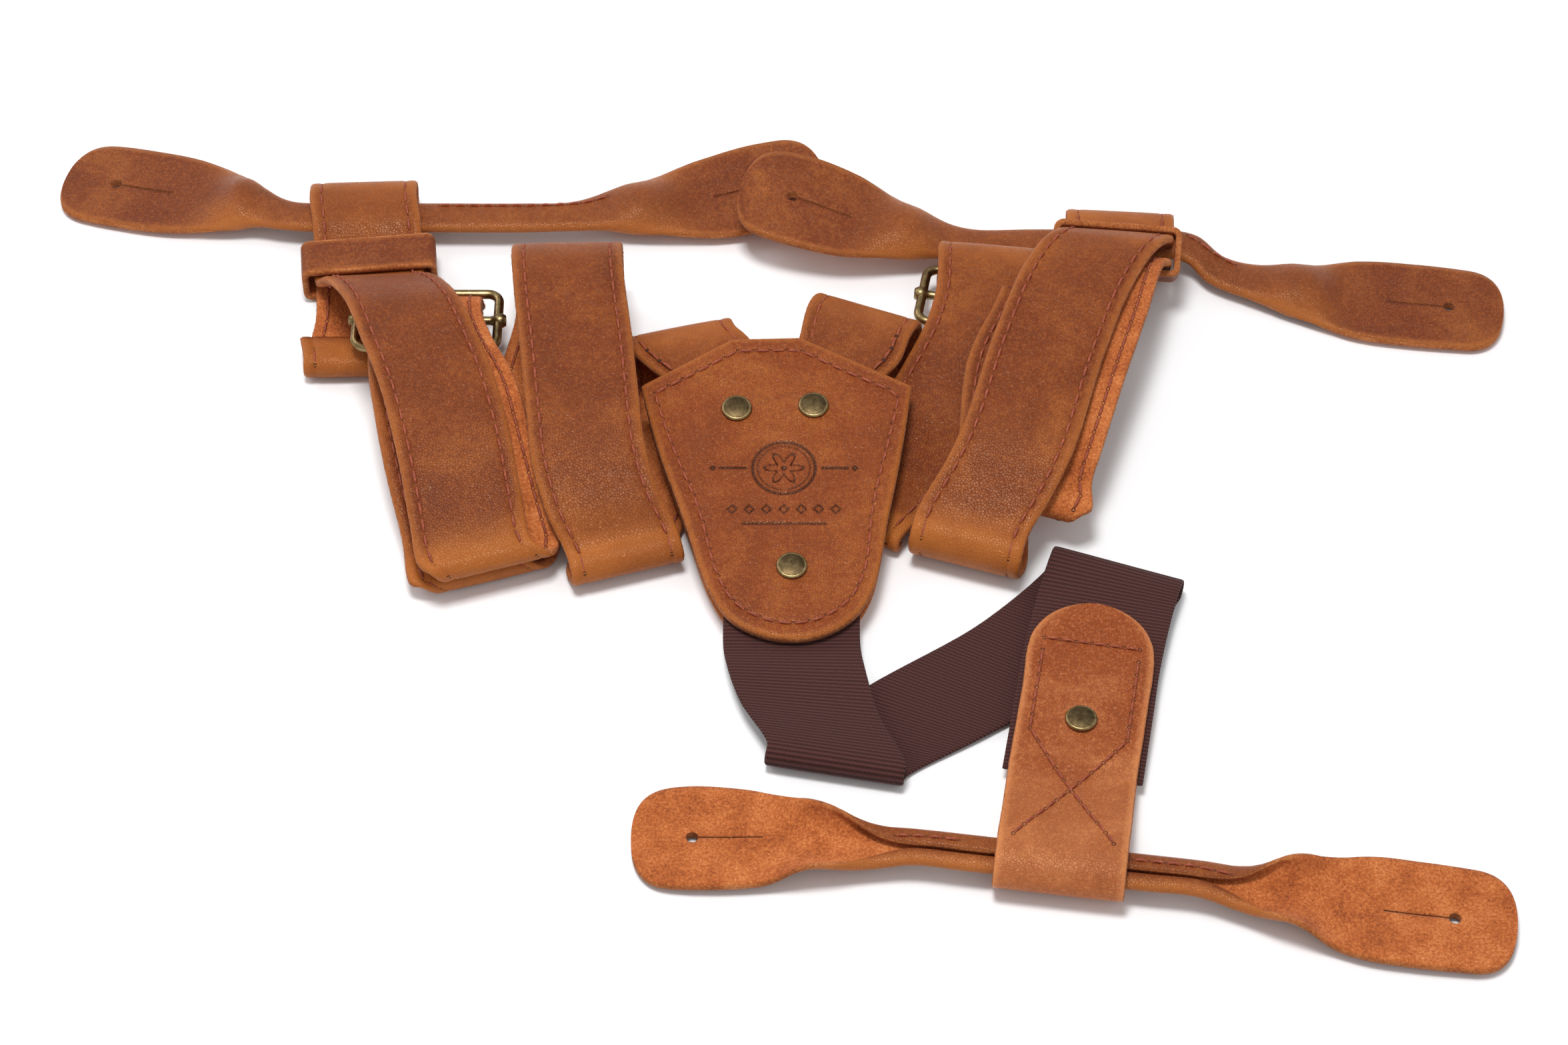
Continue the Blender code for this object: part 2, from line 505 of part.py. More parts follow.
def buttonhole_cutter(name, end, inward, normal):
    """A round hole with a slit, in the ear whose tip is at `end` and whose axis is `inward`."""
    side = normal.cross(inward)
    hole = end + inward * BUTTONHOLE_FROM_END
    half_slit = BUTTONHOLE_SLIT_WIDTH / 2.0
    start = math.asin(half_slit / BUTTONHOLE_RADIUS)
    outline = [(BUTTONHOLE_SLIT, half_slit)]
    for i in range(9):
        angle = start + (2 * math.pi - 2 * start) * i / 8.0
        outline.append((BUTTONHOLE_RADIUS * math.cos(angle), BUTTONHOLE_RADIUS * math.sin(angle)))
    outline.append((BUTTONHOLE_SLIT, -half_slit))
    rings = []
    for depth in (-6.0, 6.0):
        rings.append([hole + inward * a + side * b + normal * depth for a, b in outline])
    bm = bmesh.new()
    skin(bm, rings)
    return add_object(name, bm, TAB_LEATHER_LOOK)


def button_tab(name, rows):
    rings = []
    sections = tilted_stations(rows)
    for centre, side, up, width, thickness in sections:
        half = side * (width / 2.0)
        rise = up * (thickness / 2.0)
        rings.append([centre - half - rise, centre + half - rise, centre + half + rise, centre - half + rise])
    bm = bmesh.new()
    skin(bm, rings)
    tab = add_object(name, bm, TAB_LEATHER_LOOK)
    for index, (tip, inner) in enumerate(((0, 3), (len(rows) - 1, len(rows) - 4))):
        end = Vector(rows[tip][:3])
        ahead = (Vector(rows[inner][:3]) - end).normalized()
        across = tilted_stations(rows)[0 if index == 0 else -1][1]
        normal = across.cross(ahead).normalized()
        subtract(tab, buttonhole_cutter(f"{name}_hole_{index}", end, ahead, normal))
    return tab


# ------------------------------------------------------------------ patch and rivets
PATCH_LEAN = math.atan(PATCH_SLOPE)
PATCH_NORMAL = Vector((0.0, -math.sin(PATCH_LEAN), math.cos(PATCH_LEAN)))


def patch_point(x, y, below=0.0):
    """A point of the layer that lies `below` the middle plane of the patch front."""
    return Vector((x, y, patch_height(y))) - PATCH_NORMAL * below


def patch_layer(name, thickness, below, inset, settings):
    middle = Vector((0.0, 3.0))
    outline = []
    for corner in PATCH_OUTLINE:
        point = Vector(corner)
        outline.append(point - (point - middle).normalized() * inset)
    rings = []
    for side in (-0.5, 0.5):
        rings.append([patch_point(p.x, p.y, below - side * thickness) for p in outline])
    bm = bmesh.new()
    skin(bm, rings)
    return add_object(name, bm, settings)


def lathe(name, base, normal, profile, settings, sides=16):
    """A turned solid: profile rows are (radius, height along the normal); the axis points close it."""
    across = normal.orthogonal().normalized()
    other = normal.cross(across)
    bm = bmesh.new()
    loops = []
    for radius, height in profile:
        loop = []
        for i in range(sides):
            angle = 2 * math.pi * i / sides
            spoke = across * math.cos(angle) + other * math.sin(angle)
            loop.append(bm.verts.new(place(base + normal * height + spoke * radius)))
        loops.append(loop)
    for low, high in zip(loops, loops[1:]):
        for i in range(sides):
            j = (i + 1) % sides
            bm.faces.new((low[i], low[j], high[j], high[i]))
    bm.faces.new(list(reversed(loops[0])))
    bm.faces.new(loops[-1])
    return add_object(name, bm, settings)


def rivet(name, top, normal, stack, leather):
    """Cap over the top leather, post with a foot from below; every layer in `leather` gets a hole.

    `top` is the outer surface at the rivet, `stack` the thickness from there to the underside.
    """
    radius = RIVET_CAP_RADIUS
    height = RIVET_CAP_HEIGHT
    cap = [(radius, 0.2), (radius, 0.2 + 0.45 * height), (0.8 * radius, 0.2 + 0.85 * height),
           (0.35 * radius, 0.2 + height)]
    lathe(f"{name}_cap", top, normal, cap, BRASS)
    foot = stack + LAYER_GAP + RIVET_FOOT_HEIGHT
    post = [(RIVET_FOOT_RADIUS, -foot), (RIVET_FOOT_RADIUS, -foot + RIVET_FOOT_HEIGHT),
            (RIVET_POST_RADIUS, -foot + RIVET_FOOT_HEIGHT + 0.05), (RIVET_POST_RADIUS, -0.15)]
    lathe(f"{name}_post", top, normal, post, BRASS, sides=12)
    for layer in leather:
        cutter = round_cutter(f"{name}_hole_in_{layer.name}", top - normal * (stack / 2.0), normal,
                              RIVET_HOLE_RADIUS, 2.0 * stack)
        subtract(layer, cutter)


# ------------------------------------------------------------------ keepers and buckles
def rounded_rectangle(width, height, corner, steps=3):
    """Outline of a rectangle with round corners, centred on the origin."""
    outline = []
    for quarter, (sx, sy) in enumerate(((1, 1), (-1, 1), (-1, -1), (1, -1))):
        for i in range(steps + 1):
            angle = math.pi / 2.0 * (quarter + i / steps)
            outline.append((sx * (width / 2.0 - corner) + corner * math.cos(angle),
                            sy * (height / 2.0 - corner) + corner * math.sin(angle)))
    return outline


def keeper(name, settings):
    centre, heading, rise, length, inner_width, inner_height = settings
    across, axis, normal = turned_frame(heading, rise)
    inner = rounded_rectangle(inner_width, inner_height, KEEPER_CORNER)
    outer = rounded_rectangle(inner_width + 2 * KEEPER_THICKNESS, inner_height + 2 * KEEPER_THICKNESS,
                              KEEPER_CORNER + KEEPER_THICKNESS)
    rings = []
    for outline, end in ((outer, -0.5), (outer, 0.5), (inner, 0.5), (inner, -0.5)):
        rings.append([Vector(centre) + across * a + normal * b + axis * (end * length)
                      for a, b in outline])
    bm = bmesh.new()
    skin(bm, rings, closed=True)
    return add_object(name, bm, LEATHER)


def tube(name, path, radius, settings, sides=8, closed=False):
    """A round wire along a flat path of points; `closed` makes a ring of it."""
    count = len(path)
    rings = []
    for i, point in enumerate(path):
        if closed:
            ahead = path[(i + 1) % count]
            behind = path[i - 1]
        else:
            ahead = path[min(i + 1, count - 1)]
            behind = path[max(i - 1, 0)]
        tangent = (ahead - behind).normalized()
        side = tangent.cross(Vector((0.0, 0.0, 1.0))).normalized()
        up = side.cross(tangent)
        ring = []
        for k in range(sides):
            angle = 2 * math.pi * (k + 0.5) / sides
            ring.append(point + side * (radius * math.cos(angle)) + up * (radius * math.sin(angle)))
        rings.append(ring)
    bm = bmesh.new()
    skin(bm, rings, closed=closed)
    return add_object(name, bm, settings)


def buckle(prefix, settings):
    """Wire frame and the centre bar that both straps of one side are folded round."""
    centre, heading = settings
    across, axis, _ = turned_frame(heading)
    middle = Vector(centre)
    outline = rounded_rectangle(BUCKLE_WIDTH - 2 * BUCKLE_WIRE_RADIUS, BUCKLE_LENGTH - 2 * BUCKLE_WIRE_RADIUS,
                                BUCKLE_CORNER, steps=4)
    tube(f"{prefix}_buckle_frame", [middle + across * a + axis * b for a, b in outline],
         BUCKLE_WIRE_RADIUS, BRASS, closed=True)
    reach = BUCKLE_WIDTH / 2.0 - 2 * BUCKLE_WIRE_RADIUS - LAYER_GAP
    tube(f"{prefix}_buckle_bar", [middle - across * reach, middle, middle + across * reach], BAR_RADIUS, BRASS)


def main():
    clear_scene()
    left_back = ribbon("left_back_strap", LEFT_BACK_STRAP, STRAP_THICKNESS, LEATHER)
    right_back = ribbon("right_back_strap", RIGHT_BACK_STRAP, STRAP_THICKNESS, LEATHER)
    ribbon("left_front_strap", LEFT_FRONT_STRAP, STRAP_THICKNESS, LEATHER)
    ribbon("right_front_strap", RIGHT_FRONT_STRAP, STRAP_THICKNESS, LEATHER)
    elastic = ribbon("elastic_web", ELASTIC_WEB, ELASTIC_THICKNESS, ELASTIC)
    end_tab = ribbon("rear_end_tab", END_TAB, TAB_LEATHER, TAB_LEATHER_LOOK)
    button_tab("left_button_tab", LEFT_TAB)
    button_tab("right_button_tab", RIGHT_TAB)
    button_tab("rear_button_tab", REAR_TAB)
    front = patch_layer("back_patch_front", PATCH_FRONT_THICKNESS, 0.0, 0.0, TAB_LEATHER_LOOK)
    lining = patch_layer("back_patch_lining", PATCH_LINING_THICKNESS, LINING_BELOW, 0.6, LINING)
    held = {"left": left_back, "right": right_back, "bottom": elastic}
    stack = LINING_BELOW + (PATCH_FRONT_THICKNESS + PATCH_LINING_THICKNESS) / 2.0
    for side, (x, y) in PATCH_RIVETS.items():
        top = patch_point(x, y, -PATCH_FRONT_THICKNESS / 2.0)
        rivet(f"patch_rivet_{side}", top, PATCH_NORMAL, stack, [front, held[side], lining])
    x, y = END_TAB_RIVET
    top = Vector((x, y, END_TAB_TOP + TAB_LEATHER / 2.0))
    rivet("rear_rivet", top, Vector((0.0, 0.0, 1.0)), 6.1, [end_tab, elastic])
    keeper("left_keeper", LEFT_KEEPER)
    keeper("right_keeper", RIGHT_KEEPER)
    buckle("left", LEFT_BUCKLE)
    buckle("right", RIGHT_BUCKLE)


main()
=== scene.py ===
"""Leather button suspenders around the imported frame: skins, stitching, hardware, light and camera.

Routes are in millimetres in the layout frame and become metres in `world`.
"""
import math
import random

import bmesh
import bpy
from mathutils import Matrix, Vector, noise
from mathutils.bvhtree import BVHTree

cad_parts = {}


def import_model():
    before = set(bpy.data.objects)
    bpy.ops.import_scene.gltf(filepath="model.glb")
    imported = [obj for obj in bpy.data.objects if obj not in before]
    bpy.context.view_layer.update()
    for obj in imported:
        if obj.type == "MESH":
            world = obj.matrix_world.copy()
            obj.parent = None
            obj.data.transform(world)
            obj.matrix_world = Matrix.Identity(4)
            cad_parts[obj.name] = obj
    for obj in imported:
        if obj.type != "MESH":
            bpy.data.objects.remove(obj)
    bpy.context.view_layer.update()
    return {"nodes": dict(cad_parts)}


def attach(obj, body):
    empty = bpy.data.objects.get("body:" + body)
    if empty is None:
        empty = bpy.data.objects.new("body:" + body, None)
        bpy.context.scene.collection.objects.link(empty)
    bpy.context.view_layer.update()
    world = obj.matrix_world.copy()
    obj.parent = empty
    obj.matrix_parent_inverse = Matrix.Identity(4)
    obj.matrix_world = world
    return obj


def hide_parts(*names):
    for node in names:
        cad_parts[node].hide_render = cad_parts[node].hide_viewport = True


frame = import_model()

random.seed(7)

LAYOUT_SHIFT = (3.2, 2.6, 0.0)
STRAP_WIDTH = 30.0
STRAP_THICKNESS = 2.2
STRAP_ROOT_WIDTH = 17.0
ELASTIC_WIDTH = 35.0
ELASTIC_THICKNESS = 1.2
END_TAB_WIDTH = 32.0
END_TAB_RADIUS = 16.0                  # of its round upper end
EAR_WIDTH = 31.0
EAR_END_WIDTH = 30.0
WAIST_WIDTH = 11.0
WAIST_THICKNESS = 4.0
TAB_LEATHER = 2.0
ON_TABLE = 1.6
PATCH_FRONT_THICKNESS = 2.2
PATCH_LINING_THICKNESS = 1.4
PATCH_SLOPE = 0.125
PATCH_MIDDLE = (-1.0, 1.0, 13.2)
PATCH_GAP = 0.6
KEEPER_THICKNESS = 1.8
KEEPER_CORNER = 0.8
BUCKLE_LENGTH = 23.0
BUCKLE_WIDTH = 41.0
BUCKLE_WIRE_RADIUS = 1.3
BUCKLE_CORNER = 3.2
STITCH_PITCH = 4.7
STITCH_INSET = 3.3                     # from the strap's edge to its stitch line
PATCH_STITCH_INSET = 4.6
SURFACE_PITCH = 0.92 * STITCH_PITCH    # of the seams on the patch and the end tab
WAIST_PITCH = 3.6
THREAD_RADIUS = 0.40
RIPPLE = 0.16                          # waviness of the straps' faces
BUTTONHOLE_FROM_END = 15.0
BUTTONHOLE_RADIUS = 1.55
SLIT_END = 17.4                        # from the hole's middle
SLIT_HALF_WIDTH = 0.16
MM_PER_METRE = 1000.0
RIB_PITCH = 1.15                       # of the elastic, along it
WARP_PITCH = 0.72                      # of the elastic, across it
STRAP_DEFAULTS = (STRAP_WIDTH, 0.0)    # width and tilt of a route's rows that give none
WAIST_DEFAULTS = (WAIST_WIDTH, WAIST_THICKNESS, 0.0)
GRAIN, EDGE, FLESH = 0, 1, 2           # material slots of a piece of leather
CAMERA_DISTANCE = 1042.0
CAMERA_ELEVATION = math.radians(48.0)
CAMERA_LENS = 90.8


def bend(x, y, z_from, z_to, reach, heading, width=STRAP_WIDTH, shift=0.0):
    """Half an ellipse standing on the ribbon's axis: it leaves at z_from and comes back at z_to.

    `reach` is how far it bulges along the ribbon's own direction, `shift` how far it drifts sideways.
    """
    turn = math.radians(heading)
    middle = (z_from + z_to) / 2.0
    half = (z_to - z_from) / 2.0
    rows = []
    for step in range(-2, 3):
        angle = step * math.pi / 4.0
        out = reach * math.cos(angle)
        side = shift * step / 4.0
        rows.append((x - math.sin(turn) * out + math.cos(turn) * side,
                     y + math.cos(turn) * out + math.sin(turn) * side,
                     middle + half * math.sin(angle), heading, width, 0.0))
    return rows


def curve_through(rows, samples=24):
    """Centripetal Catmull-Rom curve through rows of numbers; the first three are the position."""
    first = [2 * a - b for a, b in zip(rows[0], rows[1])]
    last = [2 * a - b for a, b in zip(rows[-1], rows[-2])]
    knots = [first, *rows, last]
    result = []
    for i in range(len(knots) - 3):
        p = knots[i:i + 4]
        t = [0.0]
        for a, b in zip(p, p[1:]):
            t.append(t[-1] + max(math.dist(a[:3], b[:3]), 1e-6) ** 0.5)

        def mix(a, b, low, high, at):
            return [(va * (high - at) + vb * (at - low)) / (high - low) for va, vb in zip(a, b)]

        for s in range(samples):
            at = t[1] + (t[2] - t[1]) * s / samples
            a1 = mix(p[0], p[1], t[0], t[1], at)
            a2 = mix(p[1], p[2], t[1], t[2], at)
            a3 = mix(p[2], p[3], t[2], t[3], at)
            b1 = mix(a1, a2, t[0], t[2], at)
            b2 = mix(a2, a3, t[1], t[3], at)
            result.append(mix(b1, b2, t[1], t[2], at))
    result.append(list(rows[-1]))
    return result


def patch_height(y, below=0.0):
    """Height of the patch front's middle plane over (0, y), lowered by `below` along its normal."""
    lean = math.hypot(1.0, PATCH_SLOPE)
    return PATCH_MIDDLE[2] + PATCH_SLOPE * (y - PATCH_MIDDLE[1]) - below * lean


STRAP_BELOW = (PATCH_FRONT_THICKNESS + STRAP_THICKNESS) / 2.0 + PATCH_GAP
LINING_BELOW = STRAP_BELOW + (STRAP_THICKNESS + PATCH_LINING_THICKNESS) / 2.0 + PATCH_GAP

# Each row: x, y, z, heading of the width direction in degrees, then the width (STRAP_WIDTH unless given) and
# its tilt in degrees, if any.
LEFT_BACK_STRAP = [
    (-12.0, 16.0, patch_height(16.0, STRAP_BELOW), 0.0, STRAP_ROOT_WIDTH),
    (-12.5, 25.0, patch_height(25.0, STRAP_BELOW), 6.0, STRAP_ROOT_WIDTH, 0.7),
    (-16.5, 36.0, patch_height(36.0, STRAP_BELOW), 14.0, 22.0, 1.7),
    (-22.5, 46.0, patch_height(46.0, STRAP_BELOW), 16.0, 29.0, 1.9),
    *reversed(bend(-27.5, 53.0, ON_TABLE, 15.6, 6.5, 15.0)),
    (-33.0, 25.0, ON_TABLE, 11.0),
    (-37.0, 5.0, ON_TABLE, 14.0),
    *bend(-42.3, -14.0, ON_TABLE, 9.0, -7.0, 17.0),
    (-47.0, -6.0, 14.0, 16.0),
    (-51.0, 7.0, 18.6, 13.0),
    (-53.0, 22.0, 22.0, 10.0),
    (-55.0, 40.0, 24.3, 7.0),
    (-57.5, 60.0, 25.5, 4.0),
    *reversed(bend(-59.0, 75.0, ON_TABLE, 25.0, 10.0, 1.0)),
    (-63.0, 52.0, ON_TABLE, 5.0),
    (-66.5, 25.0, ON_TABLE, 9.0),
    (-71.5, 0.0, ON_TABLE, 14.0),
    *bend(-78.0, -20.0, ON_TABLE, 5.2, -2.1, 18.0, shift=-9.0),
    (-85.0, -8.0, 7.4, 17.0),
    (-89.5, 8.0, 12.4, 15.0),
    (-93.5, 26.0, 16.0, 10.0),
    (-96.0, 40.0, 16.4, 5.0),
    (-97.0, 52.0, 15.0, 1.0),
    *reversed(bend(-97.0, 63.5, 8.7, 14.3, 2.9, 0.0)),
    (-97.0, 57.5, 9.3, 0.0),
]
LEFT_FRONT_STRAP = [
    (-117.0, 62.0, 5.8, 0.0),
    *reversed(bend(-115.5, 54.5, ON_TABLE, 5.8, -2.4, 1.0)),
    (-115.0, 63.0, ON_TABLE, 1.0),
    (-114.0, 74.0, 2.0, 4.0),
    (-114.3, 83.0, 3.9, 6.0),
    (-115.2, 91.0, 4.0, 6.0),
    (-116.0, 98.6, 3.8, 4.0),
    (-116.4, 102.2, 2.1, 3.0),
    (-116.8, 106.0, ON_TABLE, 3.0),
    *bend(-118.0, 112.6, ON_TABLE, 10.9, 9.0, 3.0),
    (-116.6, 104.5, 10.0, 3.0),
    (-116.0, 99.0, 7.7, 4.0),
    (-115.2, 91.0, 7.5, 6.0),
    (-114.3, 83.5, 8.0, 6.0),
    (-111.5, 77.5, 14.0, 3.0),
    (-107.5, 69.0, 20.6, 2.0),
    (-102.5, 58.0, 25.2, 4.0),
    (-98.0, 46.0, 25.8, 8.0),
    (-92.0, 30.0, 24.2, 11.0),
    (-86.5, 10.0, 20.5, 14.0),
    (-82.5, -9.0, 15.6, 17.0),
    *reversed(bend(-76.0, -20.5, 7.8, 12.4, -3.4, 18.0, shift=-7.5)),
    (-75.5, -8.0, 11.2, 17.0),
    (-80.5, 10.0, 16.6, 15.0),
    (-86.0, 30.0, 20.3, 11.0),
    (-93.0, 47.0, 20.2, 4.0),
    (-96.5, 59.0, 18.6, 0.0),
    (-97.0, 65.0, 17.2, 0.0),
    (-97.0, 68.6, 14.2, 0.0),
    (-97.0, 70.6, 10.8, 0.0),
    (-97.0, 72.4, 8.0, 0.0),
    (-97.0, 76.8, 6.6, 0.0, 24.0),
]
RIGHT_BACK_STRAP = [
    (7.5, 16.0, patch_height(16.0, STRAP_BELOW), 0.0, STRAP_ROOT_WIDTH),
    (8.0, 26.0, patch_height(26.0, STRAP_BELOW), -6.0, STRAP_ROOT_WIDTH, -0.7),
    (13.0, 38.0, patch_height(38.0, STRAP_BELOW), -16.0, 22.0, -1.9),
    (17.5, 48.0, patch_height(48.0, STRAP_BELOW), -20.0, 28.0, -2.4),
    *reversed(bend(20.5, 59.0, ON_TABLE, 16.6, 8.5, -22.0)),
    (17.0, 40.0, ON_TABLE, -22.0),
    (15.0, 18.0, ON_TABLE, -24.0),
    *bend(17.5, -3.0, ON_TABLE, 5.0, -2.0, -28.0),
    (26.0, 8.0, 5.7, -26.0),
    (37.5, 26.0, 8.6, -22.0),
    (46.5, 42.0, 12.0, -19.0),
    (53.0, 56.0, 14.6, -16.0),
    (56.5, 71.0, 15.6, -12.0),
    *reversed(bend(57.3, 85.5, 3.9, 15.8, 5.0, -7.0)),
    *reversed(bend(57.0, 74.5, 10.3, 4.7, -2.9, -10.0)),
    (58.4, 80.5, 9.9, -10.0),
]
RIGHT_FRONT_STRAP = [
    (58.5, 82.0, 13.2, -10.0, 24.0),
    (57.2, 76.0, 13.2, -10.0, 28.0),
    (56.4, 72.2, 13.0, -10.0, 28.0),
    (55.9, 69.1, 9.8, -10.0, 28.0),
    (55.6, 67.2, 6.0, -10.0, 28.0),
    (55.2, 64.9, 3.1, -10.0, 28.0),
    (54.6, 62.0, 1.9, -11.0, 28.0),
    (53.5, 56.0, ON_TABLE, -12.0, 29.0),
    (51.5, 30.0, ON_TABLE, -15.0),
    (50.0, 5.0, ON_TABLE, -17.0),
    *bend(49.0, -11.5, ON_TABLE, 13.2, -8.0, -18.0),
    (56.0, 0.0, 17.6, -19.0),
    (61.7, 12.0, 21.4, -18.0),
    (69.5, 38.0, 25.2, -17.0),
    (78.5, 64.0, 26.6, -15.0),
    (84.5, 76.5, 26.0, -11.0),
    (88.6, 82.6, 24.6, -8.0),
    (91.6, 86.7, 21.6, -6.0),
    (92.2, 92.8, 12.5, -6.0),
    (92.2, 95.2, 11.0, -5.0),
    *reversed(bend(93.5, 100.5, ON_TABLE, 10.9, 9.0, -4.0)),
    (92.6, 94.2, ON_TABLE, -4.0),
    (91.8, 91.4, 2.7, -5.0),
    (91.8, 89.7, 5.4, -6.0),
    (91.6, 87.3, 8.8, -6.0),
    (91.0, 81.2, 17.9, -6.0),
    (88.8, 77.6, 21.2, -8.0),
    (86.8, 72.0, 22.8, -12.0),
    (83.5, 60.0, 23.0, -15.0),
    (76.5, 38.0, 21.6, -17.0),
    (69.0, 14.0, 17.8, -18.0),
    (66.2, 5.5, 15.0, -19.0),
    *reversed(bend(62.5, -1.0, 8.6, 12.4, -2.5, -19.0, shift=7.0)),
    (60.0, 9.0, 12.8, -19.0),
    (63.5, 38.0, 18.4, -17.0),
    (71.5, 58.0, 19.9, -16.0),
    (73.5, 64.0, 19.9, -15.0),
]
ELASTIC_WEB = [
    (2.0, -18.0, patch_height(-18.0, STRAP_BELOW), 0.0, ELASTIC_WIDTH),
    (2.0, -34.0, patch_height(-34.0, STRAP_BELOW), 0.0, ELASTIC_WIDTH),
    (2.0, -46.5, patch_height(-46.5, STRAP_BELOW), 0.0, ELASTIC_WIDTH),
    (3.2, -55.0, 5.4, -2.0, ELASTIC_WIDTH),
    (6.5, -68.0, 5.6, -7.0, ELASTIC_WIDTH),
    *reversed(bend(13.0, -83.0, 1.0, 6.4, -3.6, -11.0, ELASTIC_WIDTH)),
    (36.0, -65.0, 1.0, -24.0, ELASTIC_WIDTH),
    (66.0, -44.0, 1.0, -27.0, ELASTIC_WIDTH),
    *bend(86.0, -21.5, 1.0, 6.0, 3.0, -20.0, ELASTIC_WIDTH),
    (82.5, -33.0, 5.4, -13.0, ELASTIC_WIDTH),
    (78.0, -52.0, 5.2, -10.0, ELASTIC_WIDTH),
    (75.5, -66.0, 5.0, -10.0, ELASTIC_WIDTH),
    (71.5, -88.0, 3.7, -9.0, ELASTIC_WIDTH),
]

END_TAB_TOP = 6.65                    # height of the upper leaf at the rivet
END_TAB = [
    (80.5, -35.5, 7.3, -10.0, 9.0),
    (80.0, -38.0, 7.3, -10.0, 20.0),
    (79.2, -42.5, 7.3, -10.0, 28.5),
    (78.0, -50.0, 7.2, -10.0, END_TAB_WIDTH),
    (75.5, -66.0, 7.0, -10.0, END_TAB_WIDTH),
    (71.5, -88.0, 5.8, -9.0, END_TAB_WIDTH),
    (69.3, -103.0, 8.2, -8.0, END_TAB_WIDTH),
    (68.2, -110.0, 10.2, -8.0, END_TAB_WIDTH),
    *reversed(bend(67.3, -116.0, ON_TABLE, 10.8, -8.8, -8.0, END_TAB_WIDTH)),
    (68.8, -105.0, ON_TABLE, -8.0, END_TAB_WIDTH),
    (71.5, -88.0, 1.7, -9.0, END_TAB_WIDTH),
    (75.5, -66.0, 3.0, -10.0, END_TAB_WIDTH),
    (77.3, -54.0, 3.2, -10.0, END_TAB_WIDTH),
]

# Button tabs run from one ear to the other: x, y, z, heading of the width direction, then width, thickness
# and tilt.  Rows that give none belong to the waist, the folded middle that slides in its loop.
LEFT_TAB = [
    (-204.5, 130.6, 1.6, -103.0, EAR_END_WIDTH, TAB_LEATHER),
    (-202.0, 130.0, 1.6, -103.0, EAR_END_WIDTH, TAB_LEATHER),
    (-197.0, 128.9, 1.6, -103.0, EAR_END_WIDTH, TAB_LEATHER),
    (-189.0, 127.0, 1.6, -103.0, EAR_WIDTH, TAB_LEATHER),
    (-172.0, 122.8, 2.0, -103.0, 30.0, TAB_LEATHER),
    (-157.0, 118.4, 3.4, -103.0, 23.0, 2.6),
    (-147.5, 114.4, 5.0, -100.0, 14.5, 3.6),
    (-139.5, 111.0, 5.7, -95.0),
    (-128.0, 110.0, 5.75, -90.0),
    (-112.0, 110.0, 5.75, -90.0),
    (-92.0, 110.0, 5.75, -90.0),
    (-74.0, 110.0, 5.75, -90.0),
    (-60.0, 110.6, 5.7, -90.0),
    (-50.0, 112.6, 5.4, -86.0, 14.5, 3.6),
    (-37.0, 115.6, 4.2, -80.0, 22.0, 2.6),
    (-22.0, 119.0, 4.0, -78.0, 29.0, TAB_LEATHER, 4.0),
    (-8.0, 122.4, 5.0, -77.0, EAR_WIDTH, TAB_LEATHER, 6.0),
    (4.0, 125.4, 6.0, -76.0, EAR_END_WIDTH, TAB_LEATHER, 6.0),
    (9.0, 126.6, 6.3, -76.0, EAR_END_WIDTH, TAB_LEATHER, 6.0),
    (11.5, 127.2, 6.4, -76.0, EAR_END_WIDTH, TAB_LEATHER, 6.0),
]
RIGHT_TAB = [
    (-12.0, 112.8, 15.0, -104.0, EAR_END_WIDTH, TAB_LEATHER, 8.0),
    (-9.5, 112.1, 15.0, -104.0, EAR_END_WIDTH, TAB_LEATHER, 8.0),
    (-4.5, 110.7, 14.8, -104.0, EAR_END_WIDTH, TAB_LEATHER, 8.0),
    (4.0, 108.3, 14.0, -103.0, EAR_WIDTH, TAB_LEATHER, 8.0),
    (18.0, 105.1, 11.0, -101.0, 29.0, TAB_LEATHER, 6.0),
    (32.0, 102.7, 7.6, -98.0, 21.0, 2.6, 3.0),
    (44.0, 100.6, 6.0, -94.0, 14.0, 3.6),
    (53.0, 99.2, 6.0, -90.0),
    (68.0, 99.2, 6.0, -90.0),
    (84.0, 99.2, 6.0, -90.0),
    (98.0, 99.2, 6.0, -90.0),
    (108.0, 99.0, 6.0, -90.0),
    (114.0, 97.2, 5.6, -106.0),
    (120.0, 91.0, 4.0, -116.0),
    (131.0, 86.2, 3.4, -106.0, 13.5, 3.8),
    (143.0, 83.4, 2.6, -99.0, 20.0, 2.8),
    (158.0, 81.2, 1.8, -98.0, 29.0, TAB_LEATHER),
    (173.0, 79.2, 1.6, -98.0, EAR_WIDTH, TAB_LEATHER),
    (191.0, 76.8, 1.6, -98.0, EAR_END_WIDTH, TAB_LEATHER),
    (196.0, 76.1, 1.6, -98.0, EAR_END_WIDTH, TAB_LEATHER),
    (198.5, 75.8, 1.6, -98.0, EAR_END_WIDTH, TAB_LEATHER),
]
